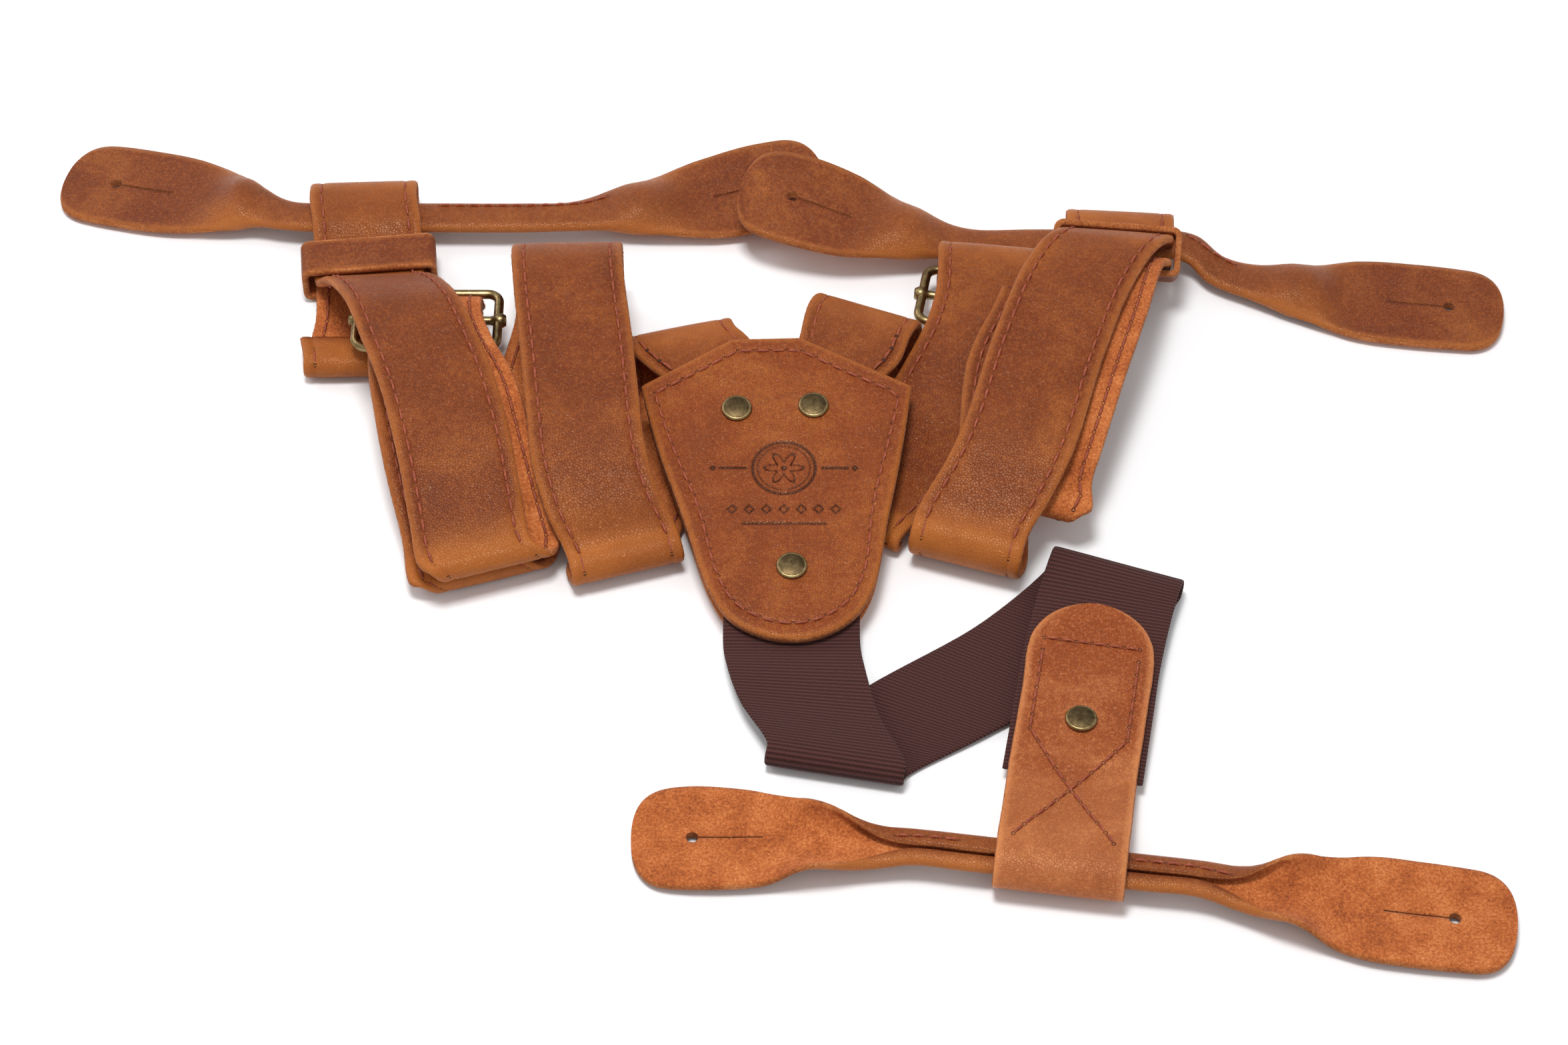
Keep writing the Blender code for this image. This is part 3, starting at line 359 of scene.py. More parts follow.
REAR_TAB = [
    (-37.5, -106.0, 1.6, -90.0, EAR_END_WIDTH, TAB_LEATHER),
    (-35.0, -106.0, 1.6, -90.0, EAR_END_WIDTH, TAB_LEATHER),
    (-30.0, -106.0, 1.6, -91.0, EAR_END_WIDTH, TAB_LEATHER),
    (-21.0, -106.2, 1.6, -91.0, EAR_WIDTH, TAB_LEATHER),
    (-5.0, -107.2, 2.0, -94.0, 28.0, TAB_LEATHER),
    (9.0, -108.6, 3.0, -96.0, 20.0, 2.8),
    (22.0, -110.2, 4.6, -98.0, 13.5, 3.8),
    (32.0, -110.8, 6.0, -98.0),
    (44.0, -112.49, 6.0, -98.0),
    (58.0, -114.45, 6.0, -98.0),
    (74.0, -116.7, 6.0, -98.0),
    (88.0, -118.67, 6.0, -98.0),
    (101.0, -120.5, 6.0, -98.0),
    (112.0, -123.2, 4.6, -99.0, 14.0, 3.8),
    (125.0, -125.2, 3.0, -99.0, 22.0, 2.8),
    (140.0, -127.6, 1.8, -99.0, 30.0, TAB_LEATHER),
    (153.0, -129.6, 1.6, -99.0, EAR_WIDTH, TAB_LEATHER),
    (169.0, -131.8, 1.6, -98.0, EAR_END_WIDTH, TAB_LEATHER),
    (174.0, -132.5, 1.6, -98.0, EAR_END_WIDTH, TAB_LEATHER),
    (176.5, -132.8, 1.6, -98.0, EAR_END_WIDTH, TAB_LEATHER),
]

# Keepers: centre, heading of the width direction, rise of the axis, length, inner width and height.
LEFT_KEEPER = ((-115.1, 90.6, 5.75), 6.0, 0.0, 13.0, 33.6, 7.2)
RIGHT_KEEPER = ((91.6, 87.0, 15.2), -6.0, -56.0, 9.0, 31.6, 10.4)

# Buckles: middle of the centre bar, heading of the bar.
LEFT_BUCKLE = ((-97.0, 63.5, 11.5), 0.0)
RIGHT_BUCKLE = ((57.0, 74.5, 7.5), -10.0)

PATCH_OUTLINE = [
    (-38.0, 33.0), (-14.0, 48.5), (4.5, 49.0), (34.0, 33.0),
    (31.0, 12.0), (27.0, -10.0), (23.0, -31.0), (18.0, -40.0), (10.0, -45.5), (2.0, -47.0),
    (-6.0, -45.5), (-14.0, -40.5), (-19.5, -31.0), (-26.0, -10.0), (-33.0, 12.0),
]
PATCH_RIVETS = {"left": (-12.5, 25.0), "right": (7.8, 26.0), "bottom": (2.0, -25.0)}
END_TAB_RIVET = (74.2, -73.0)


def turned_frame(heading, rise=0.0):
    """Width direction, axis and outward normal of a piece; the axis climbs by `rise` degrees."""
    turn = math.radians(heading)
    climb = math.radians(rise)
    across = Vector((math.cos(turn), math.sin(turn), 0.0))
    ahead = Vector((-math.sin(turn), math.cos(turn), 0.0))
    axis = ahead * math.cos(climb) + Vector((0.0, 0.0, math.sin(climb)))
    return across, axis, across.cross(axis)


PATCH_LEAN = math.atan(PATCH_SLOPE)
PATCH_NORMAL = Vector((0.0, -math.sin(PATCH_LEAN), math.cos(PATCH_LEAN)))


def patch_point(x, y, below=0.0):
    """A point of the layer that lies `below` the middle plane of the patch front."""
    return Vector((x, y, patch_height(y))) - PATCH_NORMAL * below


def rounded_rectangle(width, height, corner, steps=3):
    """Outline of a rectangle with round corners, centred on the origin."""
    outline = []
    for quarter, (sx, sy) in enumerate(((1, 1), (-1, 1), (-1, -1), (1, -1))):
        for i in range(steps + 1):
            angle = math.pi / 2.0 * (quarter + i / steps)
            outline.append((sx * (width / 2.0 - corner) + corner * math.cos(angle),
                            sy * (height / 2.0 - corner) + corner * math.sin(angle)))
    return outline


# ------------------------------------------------------------------ material nodes
class Nodes:
    """A small helper that wires a node material."""

    def __init__(self, name):
        self.material = bpy.data.materials.new(name)
        self.material.use_nodes = True
        self.tree = self.material.node_tree
        self.shader = self.tree.nodes["Principled BSDF"]
        coords = self.tree.nodes.new("ShaderNodeTexCoord")
        grow = self.tree.nodes.new("ShaderNodeVectorMath")
        grow.operation = "SCALE"
        grow.inputs["Scale"].default_value = MM_PER_METRE
        self.tree.links.new(coords.outputs["Object"], grow.inputs[0])
        self.mm = grow.outputs[0]
        self.uv = coords.outputs["UV"]

    def link(self, value, socket):
        """Sets a socket to a number or a colour, or links it to another socket."""
        if isinstance(value, (int, float)):
            socket.default_value = value
        elif isinstance(value, tuple):
            socket.default_value = (*value, 1.0)
        else:
            self.tree.links.new(value, socket)

    def noise(self, scale, detail=2.0, rough=0.5, distortion=0.0):
        node = self.tree.nodes.new("ShaderNodeTexNoise")
        node.inputs["Scale"].default_value = scale
        node.inputs["Detail"].default_value = detail
        node.inputs["Roughness"].default_value = rough
        node.inputs["Distortion"].default_value = distortion
        self.tree.links.new(self.mm, node.inputs["Vector"])
        return node.outputs["Fac"]

    def cells(self, scale):
        node = self.tree.nodes.new("ShaderNodeTexVoronoi")
        node.feature = "DISTANCE_TO_EDGE"
        node.inputs["Scale"].default_value = scale
        self.tree.links.new(self.mm, node.inputs["Vector"])
        return node.outputs["Distance"]

    def math(self, operation, a, b=0.0):
        node = self.tree.nodes.new("ShaderNodeMath")
        node.operation = operation
        for socket, value in zip(node.inputs, (a, b)):
            self.link(value, socket)
        return node.outputs[0]

    def span(self, value, low, high, to_low=0.0, to_high=1.0):
        node = self.tree.nodes.new("ShaderNodeMapRange")
        node.inputs["From Min"].default_value = low
        node.inputs["From Max"].default_value = high
        node.inputs["To Min"].default_value = to_low
        node.inputs["To Max"].default_value = to_high
        self.tree.links.new(value, node.inputs["Value"])
        return node.outputs["Result"]

    def ramp(self, value, stops):
        node = self.tree.nodes.new("ShaderNodeValToRGB")
        while len(node.color_ramp.elements) < len(stops):
            node.color_ramp.elements.new(0.5)
        for element, (at, colour) in zip(node.color_ramp.elements, stops):
            element.position = at
            element.color = (*colour, 1.0)
        self.tree.links.new(value, node.inputs["Fac"])
        return node.outputs["Color"]

    def mix(self, factor, a, b):
        node = self.tree.nodes.new("ShaderNodeMix")
        node.data_type = "RGBA"
        for socket, value in ((node.inputs[0], factor), (node.inputs[6], a), (node.inputs[7], b)):
            self.link(value, socket)
        return node.outputs[2]

    def blend(self, a, b, share):
        """The sum of two values, b weighing `share` of it."""
        return self.math("ADD", self.math("MULTIPLY", a, 1.0 - share), self.math("MULTIPLY", b, share))

    def mark(self, name):
        node = self.tree.nodes.new("ShaderNodeAttribute")
        node.attribute_name = name
        return node.outputs["Fac"]

    def part(self, vector, axis):
        node = self.tree.nodes.new("ShaderNodeSeparateXYZ")
        self.tree.links.new(vector, node.inputs[0])
        return node.outputs[axis]

    def bump(self, height, distance, strength=1.0, after=None):
        node = self.tree.nodes.new("ShaderNodeBump")
        node.inputs["Strength"].default_value = strength
        node.inputs["Distance"].default_value = distance
        self.tree.links.new(height, node.inputs["Height"])
        if after is not None:
            self.tree.links.new(after, node.inputs["Normal"])
        return node.outputs[0]

    def finish(self, colour, roughness, normal, metallic=0.0, sheen=0.0):
        self.link(colour, self.shader.inputs["Base Color"])
        self.link(roughness, self.shader.inputs["Roughness"])
        self.link(normal, self.shader.inputs["Normal"])
        self.shader.inputs["Metallic"].default_value = metallic
        self.shader.inputs["Sheen Weight"].default_value = sheen
        return self.material


def grain_leather(name, dark, middle, light, edge_glow, pressed=False):
    """Waxed pull-up leather: fine grain, cloudy colour, lighter where it is bent or worn at the edges."""
    n = Nodes(name)
    clouds = n.noise(0.045, 4.0, 0.55, distortion=0.6)
    mottle = n.noise(0.35, 5.0, 0.6)
    tone = n.blend(clouds, mottle, 0.28)
    colour = n.ramp(tone, ((0.20, dark), (0.50, middle), (0.84, light)))
    grain = n.cells(1.35)
    pores = n.noise(3.2, 3.0, 0.6)
    colour = n.mix(n.span(grain, 0.0, 0.12, 0.50, 0.0), colour, dark)
    colour = n.mix(n.span(pores, 0.36, 0.46, 0.45, 0.0), colour, dark)
    flecks = n.noise(1.1, 3.0, 0.7)
    colour = n.mix(n.span(flecks, 0.52, 0.66, 0.0, 0.30), colour, light)
    colour = n.mix(n.span(flecks, 0.48, 0.34, 0.0, 0.45), colour, dark)
    from_edge = n.part(n.uv, 1)
    wander = n.math("ADD", from_edge, n.math("MULTIPLY", n.noise(0.5, 3.0), -1.6))
    colour = n.mix(n.span(wander, -0.6, 1.3, edge_glow, 0.0), colour, light)
    scratches = n.noise(0.9, 6.0, 0.75, distortion=2.5)
    colour = n.mix(n.span(scratches, 0.62, 0.72, 0.0, 0.22), colour, light)
    colour = n.mix(n.math("MULTIPLY", n.mark("bend"), n.span(clouds, 0.3, 0.7, 0.55, 1.0)), colour, light)
    if pressed:
        colour = n.mix(n.math("MULTIPLY", n.mark("pressed"), 1.25), colour, (0.055, 0.012, 0.005))
    rough = n.span(n.math("ADD", mottle, n.math("MULTIPLY", pores, 0.4)), 0.45, 0.95, 0.34, 0.50)
    fine = n.bump(n.span(grain, 0.0, 0.16), 0.00010, 0.75)
    normal = n.bump(pores, 0.00005, 0.45, after=fine)
    n.shader.inputs["Specular IOR Level"].default_value = 0.42
    n.shader.inputs["Specular Tint"].default_value = (1.0, 0.70, 0.48, 1.0)
    return n.finish(colour, rough, normal)


def napped_leather(name, dark, middle, light):
    """Flesh side or raw edge: short nap, speckled."""
    n = Nodes(name)
    specks = n.noise(1.5, 5.0, 0.72)
    clouds = n.noise(0.12, 3.0, 0.5)
    tone = n.blend(specks, clouds, 0.32)
    colour = n.ramp(tone, ((0.36, dark), (0.50, middle), (0.66, light)))
    flecks = n.noise(2.6, 2.0, 0.5)
    colour = n.mix(n.span(flecks, 0.64, 0.70, 0.0, 0.45), colour, light)
    colour = n.mix(n.span(flecks, 0.36, 0.30, 0.0, 0.45), colour, dark)
    normal = n.bump(specks, 0.00035, 0.8)
    n.shader.inputs["Specular IOR Level"].default_value = 0.15
    return n.finish(colour, 0.92, normal, sheen=0.06)


def woven_elastic():
    """Crosswise ribs with a fine step in each, in the millimetres of the web's own surface; the colour
    carries painted shade in the rib troughs and painted highlight on the crests.
    """
    n = Nodes("ribbed_elastic_weave")
    along = n.part(n.uv, 0)
    across = n.part(n.uv, 1)
    rib = n.math("SINE", n.math("MULTIPLY", along, 2 * math.pi / RIB_PITCH))
    warp = n.math("SINE", n.math("MULTIPLY", across, 2 * math.pi / WARP_PITCH))
    weave = n.blend(rib, n.math("MULTIPLY", rib, warp), 0.35)
    fuzz = n.noise(2.4, 4.0, 0.65)
    # painted shade and highlight: the colour goes dark in the rib troughs and light on the rib crests
    tone = n.math("ADD", n.span(weave, -1.0, 1.0, 0.15, 0.75), n.math("MULTIPLY", fuzz, 0.3))
    colour = n.ramp(tone, ((0.25, (0.020, 0.0055, 0.0048)), (0.60, (0.060, 0.0185, 0.0160)),
                           (0.95, (0.115, 0.042, 0.036))))
    normal = n.bump(n.math("ADD", weave, n.math("MULTIPLY", fuzz, 0.5)), 0.00022, 0.8)
    n.shader.inputs["Specular IOR Level"].default_value = 0.2
    return n.finish(colour, 0.82, normal, sheen=0.05)


def sewing_thread():
    """Red-brown waxed thread, darker in the twist."""
    n = Nodes("waxed_thread")
    twist = n.noise(2.2, 2.0, 0.5, distortion=1.5)
    colour = n.ramp(twist, ((0.35, (0.16, 0.026, 0.010)), (0.55, (0.32, 0.062, 0.022)),
                            (0.75, (0.48, 0.13, 0.045))))
    return n.finish(colour, 0.62, n.bump(twist, 0.0001, 0.7))


def needle_hole():
    """Painted shade inside a stitch hole: a dark colour standing for the shadow in the hole."""
    n = Nodes("needle_hole_shadow")
    speck = n.noise(3.0, 2.0)
    colour = n.ramp(speck, ((0.3, (0.020, 0.006, 0.003)), (0.7, (0.055, 0.016, 0.008))))
    return n.finish(colour, 0.95, n.bump(speck, 0.00005, 0.5))


def antique_brass(name, dark, middle, light, roughness):
    """Brass under a cloudy patina."""
    n = Nodes(name)
    patina = n.noise(0.6, 5.0, 0.65, distortion=0.8)
    fine = n.noise(4.0, 4.0, 0.6)
    tone = n.blend(patina, fine, 0.3)
    colour = n.ramp(tone, ((0.32, dark), (0.52, middle), (0.72, light)))
    rough = n.span(fine, 0.3, 0.7, roughness, roughness + 0.16)
    return n.finish(colour, rough, n.bump(fine, 0.00003, 0.4), metallic=1.0)


STRAP_GRAIN = grain_leather("strap_grain", (0.095, 0.014, 0.003), (0.185, 0.033, 0.005),
                            (0.41, 0.118, 0.020), 0.70)
TAB_GRAIN = grain_leather("tab_grain", (0.090, 0.015, 0.004), (0.190, 0.036, 0.008),
                          (0.43, 0.130, 0.027), 0.65)
END_GRAIN = grain_leather("end_tab_grain", (0.160, 0.026, 0.005), (0.290, 0.056, 0.010),
                          (0.66, 0.245, 0.085), 0.70)
PATCH_GRAIN = grain_leather("patch_grain", (0.130, 0.021, 0.004), (0.240, 0.046, 0.007),
                            (0.43, 0.128, 0.023), 0.75, pressed=True)
SUEDE = napped_leather("suede_side", (0.235, 0.055, 0.015), (0.470, 0.124, 0.032), (0.70, 0.260, 0.085))
RAW_EDGE = napped_leather("raw_edge", (0.200, 0.050, 0.014), (0.390, 0.120, 0.034), (0.58, 0.230, 0.080))
WEAVE = woven_elastic()
THREAD = sewing_thread()
HOLE = needle_hole()
BRASS = antique_brass("brass_worn", (0.045, 0.030, 0.014), (0.105, 0.072, 0.034), (0.19, 0.135, 0.065), 0.36)
BRASS_RIM = antique_brass("brass_bright", (0.13, 0.09, 0.04), (0.30, 0.21, 0.095), (0.52, 0.40, 0.20), 0.26)


# ------------------------------------------------------------------ meshes
def world(point):
    """A layout point in the frame's metres."""
    return Vector(tuple((p + s) / MM_PER_METRE for p, s in zip(point, LAYOUT_SHIFT)))


def make_object(name, verts, faces, materials, face_materials=None, uvs=None, smooth=True, marks=None):
    """A mesh object from layout points; uvs has a pair in millimetres, and each mark a value, per vertex."""
    mesh = bpy.data.meshes.new(name)
    mesh.from_pydata([world(v) for v in verts], [], faces)
    for material in materials:
        mesh.materials.append(material)
    if face_materials is not None:
        mesh.polygons.foreach_set("material_index", face_materials)
    if uvs is not None:
        layer = mesh.uv_layers.new(name="surface_mm")
        for loop in mesh.loops:
            layer.data[loop.index].uv = uvs[loop.vertex_index]
    for mark, values in (marks or {}).items():
        mesh.attributes.new(mark, "FLOAT", "POINT").data.foreach_set("value", values)
    if smooth:
        mesh.shade_smooth()
    mesh.update()
    obj = bpy.data.objects.new(name, mesh)
    bpy.context.scene.collection.objects.link(obj)
    return obj


def face_outward(obj):
    bm = bmesh.new()
    bm.from_mesh(obj.data)
    bmesh.ops.recalc_face_normals(bm, faces=bm.faces)
    bm.to_mesh(obj.data)
    bm.free()


def loft(count, ring, closed=False, base=0):
    """Faces that join `count` rings of points; an open run gets a cap at each end."""
    faces = []
    for i in range(count if closed else count - 1):
        low = base + i * ring
        high = base + (i + 1) % count * ring
        faces += [(low + k, low + (k + 1) % ring, high + (k + 1) % ring, high + k) for k in range(ring)]
    if not closed:
        faces.append(tuple(base + k for k in reversed(range(ring))))
        faces.append(tuple(base + (count - 1) * ring + k for k in range(ring)))
    return faces


def refined(loop, step):
    """A closed loop of points with more of them along its straight stretches."""
    result = []
    for a, b in zip(loop, loop[1:] + loop[:1]):
        pieces = max(1, round((b - a).length / step))
        result += [a + (b - a) * (i / pieces) for i in range(pieces)]
    return result


def spoke_point(middle, across, other, radius, part):
    """A point of a circle, `part` of the way round."""
    angle = 2 * math.pi * part
    return middle + across * radius * math.cos(angle) + other * radius * math.sin(angle)


def spaced(total, step, tight_ends):
    """Distances along a piece, closer together where its ends are rounded off."""
    count = max(2, round(total / step))
    if not tight_ends:
        return [total * i / count for i in range(count + 1)]
    near = [0.028 * k * k for k in range(15)]
    start, stop = near[-1], total - near[-1]
    count = max(2, round((stop - start) / step))
    middle = [start + (stop - start) * i / count for i in range(1, count)]
    return near + middle + [total - d for d in reversed(near)]


def fine_stations(rows, defaults, step, round_end=0.0, tight_ends=False):
    """Sections along a route: point, width direction, normal, distance along, remaining numbers."""
    curve = curve_through([tuple(row) + defaults[len(row) - 4:] for row in rows])
    lengths = [0.0]
    for a, b in zip(curve, curve[1:]):
        lengths.append(lengths[-1] + math.dist(a[:3], b[:3]))
    distances = spaced(lengths[-1], step, tight_ends)
    count = len(distances) - 1
    even = []
    at = 0
    for want in distances:
        while at < len(curve) - 2 and lengths[at + 1] < want:
            at += 1
        part = (want - lengths[at]) / max(lengths[at + 1] - lengths[at], 1e-9)
        even.append([a + (b - a) * part for a, b in zip(curve[at], curve[at + 1])])
    result = []
    for i, row in enumerate(even):
        near = 4 if tight_ends else 1
        ahead = Vector(even[min(i + near, count)][:3])
        behind = Vector(even[max(i - near, 0)][:3])
        tangent = (ahead - behind).normalized()
        turn = math.radians(row[3])
        across = Vector((math.cos(turn), math.sin(turn), 0.0))
        normal = across.cross(tangent).normalized()
        along = distances[i]
        rest = list(row[4:])
        if round_end and along < round_end:
            rest[0] = max(1.0, END_TAB_WIDTH * math.sqrt(max(0.0, 1.0 - (1.0 - along / round_end) ** 2)))
        result.append((Vector(row[:3]), across, normal, along, rest))
    return result


# Cross-section of sewn leather: distance from the edge, height as a part of half the thickness.
SEWN_TOP = ((0.0, 0.20), (0.22, 0.66), (0.7, 0.93), (1.5, 1.0), (2.5, 0.97), (3.0, 0.84),
            (3.3, 0.78), (3.6, 0.84), (4.1, 0.97), (5.4, 1.0))
PLAIN_TOP = ((0.0, 0.30), (0.22, 0.78), (0.7, 0.97), (1.5, 1.0), (4.0, 1.0))
INNER_STEPS = 6


def profile(width, rim):
    """Points across one face: signed place across, relative height, distance from the nearer edge."""
    half = width / 2.0
    scale = min(1.0, half / 8.0)
    left = [(-half + d * scale, h, d) for d, h in rim]
    start = left[-1][0]
    inner = []
    for i in range(1, INNER_STEPS):
        place_across = start + (-2.0 * start) * i / INNER_STEPS
        inner.append((place_across, 1.02, half - abs(place_across)))
    right = [(-v, h, d) for v, h, d in reversed(left)]
    return left + inner + right


def bend_marks(sections, reach=7.0):
    """How sharply the strap is bent near each section, from 0 to 1."""
    turns = [0.0]
    for before, here, after in zip(sections, sections[1:], sections[2:]):
        a = (here[0] - before[0]).normalized()
        b = (after[0] - here[0]).normalized()
        turns.append(a.angle(b, 0.0) / max((after[0] - here[0]).length, 0.8))
    turns.append(0.0)
    span = max(1, round(reach / max((sections[1][0] - sections[0][0]).length, 0.2)))
    soft = []
    for i in range(len(turns)):
        near = turns[max(0, i - span):i + span + 1]
        soft.append(min(1.0, 7.0 * sum(near) / len(near)))
    return soft


def swell_at(along, v, seed, size):
    """Slight waviness of a leather face."""
    return size * noise.noise(Vector((along / 22.0, v / 17.0, seed * 1.7)))


def leather_ribbon(name, rows, thickness, grain_side, sewn=True, step=1.25, round_end=0.0,
                   top=STRAP_GRAIN, bottom=SUEDE, edge=RAW_EDGE, roughness=0.10, ripple=RIPPLE):
    """A strap with a grain face, a flesh face and raw edges; returns it with its sections."""
    sections = fine_stations(rows, STRAP_DEFAULTS, step, round_end, round_end > 0)
    verts = []
    uvs = []
    bends = []
    rim = SEWN_TOP if sewn else PLAIN_TOP
    ring = 0
    for (centre, across, normal, along, rest), bent in zip(sections, bend_marks(sections)):
        lean = math.radians(rest[1])
        side = across * math.cos(lean) + normal * math.sin(lean)
        up = normal * math.cos(lean) - across * math.sin(lean)
        up = up * grain_side
        front = profile(rest[0], rim)
        back = [(v, -h, d) for v, h, d in reversed(profile(rest[0], PLAIN_TOP))]
        ring = len(front) + len(back)
        for v, h, d in front + back:
            wobble = 0.0
            if d < 1.0:
                wobble = roughness * noise.noise(Vector((along * 0.9, v, 3.0))) * (1.0 if v > 0 else -1.0)
                wobble += 0.6 * roughness * noise.noise(Vector((along * 0.13, v, 9.0)))
            lift = swell_at(along, v, len(rows), ripple)
            verts.append(centre + side * (v + wobble) + up * (h * thickness / 2.0 + lift))
            uvs.append((along, d))
            bends.append(bent)
    faces = loft(len(sections), ring)
    if grain_side < 0:
        faces = [face[:1] + face[:0:-1] for face in faces]
    top_count = len(profile(STRAP_WIDTH, rim))
    band = [GRAIN] * top_count + [FLESH] * (ring - top_count)
    for k in (0, top_count - 2, top_count - 1, top_count, ring - 2, ring - 1):
        band[k] = EDGE
    kinds = band * (len(sections) - 1) + [EDGE, EDGE]
    obj = make_object(name, verts, faces, [top, edge, bottom], kinds, uvs, marks={"bend": bends})
    return obj, sections


def fibres(name, sections, thickness, per_mm, length):
    """Short loose fibres along both raw edges of a strap."""
    verts = []
    faces = []
    for (centre, across, normal, _, rest), following in zip(sections, sections[1:]):
        step = following[0] - centre
        for side in (-1.0, 1.0):
            for _ in range(int(step.length * per_mm + random.random())):
                root = centre + step * random.random()
                root += across * side * (rest[0] / 2.0 - 0.12)
                root += normal * random.uniform(-0.42, 0.42) * thickness
                aim = across * side + normal * random.uniform(-0.9, 0.9)
                aim += step.normalized() * random.uniform(-1.2, 1.2)
                tip = root + aim.normalized() * length * random.uniform(0.4, 1.0)
                if tip.z < 0.1:
                    tip.z = 0.1
                thick = normal * 0.045
                base = len(verts)
                verts += [root - thick, root + thick, tip]
                faces.append((base, base + 1, base + 2))
    return make_object(name, verts, faces, [RAW_EDGE], smooth=False)


def stitches(name, path, hole_radius=0.58, sides=6, hole_sides=8, rings=7):
    """Thread between neighbouring points of a path of (point, normal), with a disc of painted shade for the
    hole at each point.
    """
    verts = []
    faces = []
    for (a, na), (b, nb) in zip(path, path[1:]):
        if (b - a).length > 3 * STITCH_PITCH:
            continue
        ahead = (b - a).normalized()
        base = len(verts)
        for k in range(rings):
            part = k / (rings - 1)
            up = (na + (nb - na) * part).normalized()
            side = ahead.cross(up).normalized()
            arch = -0.20 + 0.52 * math.sin(math.pi * part) ** 0.6
            middle = a + (b - a) * (0.09 + 0.82 * part) + up * arch
            radius = THREAD_RADIUS * (0.75 + 0.25 * math.sin(math.pi * part))
            verts += [spoke_point(middle, side, up, radius, j / sides) for j in range(sides)]
        faces += loft(rings, sides, base=base)
    thread_faces = len(faces)
    # painted shade: a dark disc, sunk a little at its middle, stands for the shadow inside each hole
    for point, normal in path:
        across = normal.orthogonal().normalized()
        rim = point + normal * 0.06
        base = len(verts)
        other = normal.cross(across)
        verts += [spoke_point(rim, across, other, hole_radius, j / hole_sides) for j in range(hole_sides)]
        verts.append(point - normal * 0.10)
        faces += [(base + j, base + (j + 1) % hole_sides, base + hole_sides) for j in range(hole_sides)]
    kinds = [0] * thread_faces + [1] * (len(faces) - thread_faces)
    return make_object(name, verts, faces, [THREAD, HOLE], kinds)


def strap_stitch_path(sections, side, grain_side, face_side, height, seed):
    """Stitch holes along one edge line of a strap, on the face that `face_side` names."""
    total = sections[-1][3]
    count = int(total / STITCH_PITCH)
    path = []
    at = 0
    for i in range(1, count):
        want = total * i / count
        while at < len(sections) - 2 and sections[at + 1][3] < want:
            at += 1
        centre, across, normal, along, rest = sections[at]
        nxt = sections[at + 1]
        part = (want - along) / max(nxt[3] - along, 1e-9)
        middle = centre + (nxt[0] - centre) * part
        flat_up = (normal + (nxt[2] - normal) * part).normalized()
        up = flat_up * face_side
        out = side * (rest[0] / 2.0 - STITCH_INSET * min(1.0, rest[0] / 16.0))
        lift = flat_up * grain_side * swell_at(want, out, seed, RIPPLE)
        path.append((middle + across * out + lift + up * (STRAP_THICKNESS / 2.0 * height), up))
    return path


def dress(piece, body, *nodes, slot="pull_up_leather"):
    """Says which body a piece rides on and hides the nodes that it stands for; `slot` is not used."""
    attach(piece, body)
    if nodes:
        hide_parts(*nodes)
    return piece


# ------------------------------------------------------------------ straps and elastic
STRAPS = (("left_back_strap", LEFT_BACK_STRAP, 1.0), ("right_back_strap", RIGHT_BACK_STRAP, 1.0),
          ("left_front_strap", LEFT_FRONT_STRAP, -1.0), ("right_front_strap", RIGHT_FRONT_STRAP, 1.0))
for strap_name, strap_rows, strap_side in STRAPS:
    strap, strap_sections = leather_ribbon(strap_name + "_leather", strap_rows, STRAP_THICKNESS, strap_side)
    dress(strap, "harness", strap_name)
    for label, edge_side in (("a", -1.0), ("b", 1.0)):
        for face, sign, height in (("grain", strap_side, 0.80), ("flesh", -strap_side, 1.0)):
            holes = strap_stitch_path(strap_sections, edge_side, strap_side, sign, height, len(strap_rows))
            dress(stitches(f"{strap_name}_{face}_stitches_{label}", holes), "harness")
    dress(fibres(strap_name + "_edge_fibres", strap_sections, STRAP_THICKNESS, 2.4, 0.75), "harness")

elastic, elastic_sections = leather_ribbon("elastic_webbing", ELASTIC_WEB, ELASTIC_THICKNESS, 1.0, sewn=False,
                                           top=WEAVE, bottom=WEAVE, edge=WEAVE, roughness=0.03, ripple=0.05)
dress(elastic, "harness", "elastic_web", slot="ribbed_elastic")


# ------------------------------------------------------------------ surfaces to sew on
def surface_of(obj):
    """A tree that rays can be cast onto."""
    points = [v.co.copy() for v in obj.data.vertices]
    return BVHTree.FromPolygons(points, [tuple(p.vertices) for p in obj.data.polygons])


def drop_on(tree, x, y, from_z):
    """The first surface point under (x, y, from_z), in layout millimetres, with its normal."""
    hit, normal, _, _ = tree.ray_cast(world((x, y, from_z)), Vector((0.0, 0.0, -1.0)))
    if hit is None:
        return None
    if normal.z < 0:
        normal = -normal
    return Vector(tuple(c * MM_PER_METRE - s for c, s in zip(hit, LAYOUT_SHIFT))), normal


def sewn_line(tree, corners, from_z, pitch):
    """Stitch holes along straight runs between corners, dropped onto a surface."""
    places = []
    for (x0, y0), (x1, y1) in zip(corners, corners[1:]):
        count = max(1, round(math.hypot(x1 - x0, y1 - y0) / pitch))
        places += [(x0 + (x1 - x0) * i / count, y0 + (y1 - y0) * i / count) for i in range(count)]
    found = [drop_on(tree, x, y, from_z) for x, y in places + corners[-1:]]
    return [spot for spot in found if spot]


# ------------------------------------------------------------------ rear end tab
end_tab, end_sections = leather_ribbon("rear_end_tab_leather", END_TAB, TAB_LEATHER, -1.0, sewn=False,
                                       step=1.0, round_end=END_TAB_RADIUS, top=END_GRAIN)
dress(end_tab, "rear_end", "rear_end_tab", slot="tab_leather")
dress(fibres("rear_end_tab_edge_fibres", end_sections, TAB_LEATHER, 1.6, 0.55), "rear_end",
      slot="tab_leather")


def on_end_tab(along, aside):
    """Layout x, y of a place on the upper leaf of the end tab."""
    centre, across = next(section[:2] for section in end_sections if section[3] >= along)
    return (centre.x + across.x * aside, centre.y + across.y * aside)


end_tree = surface_of(end_tab)
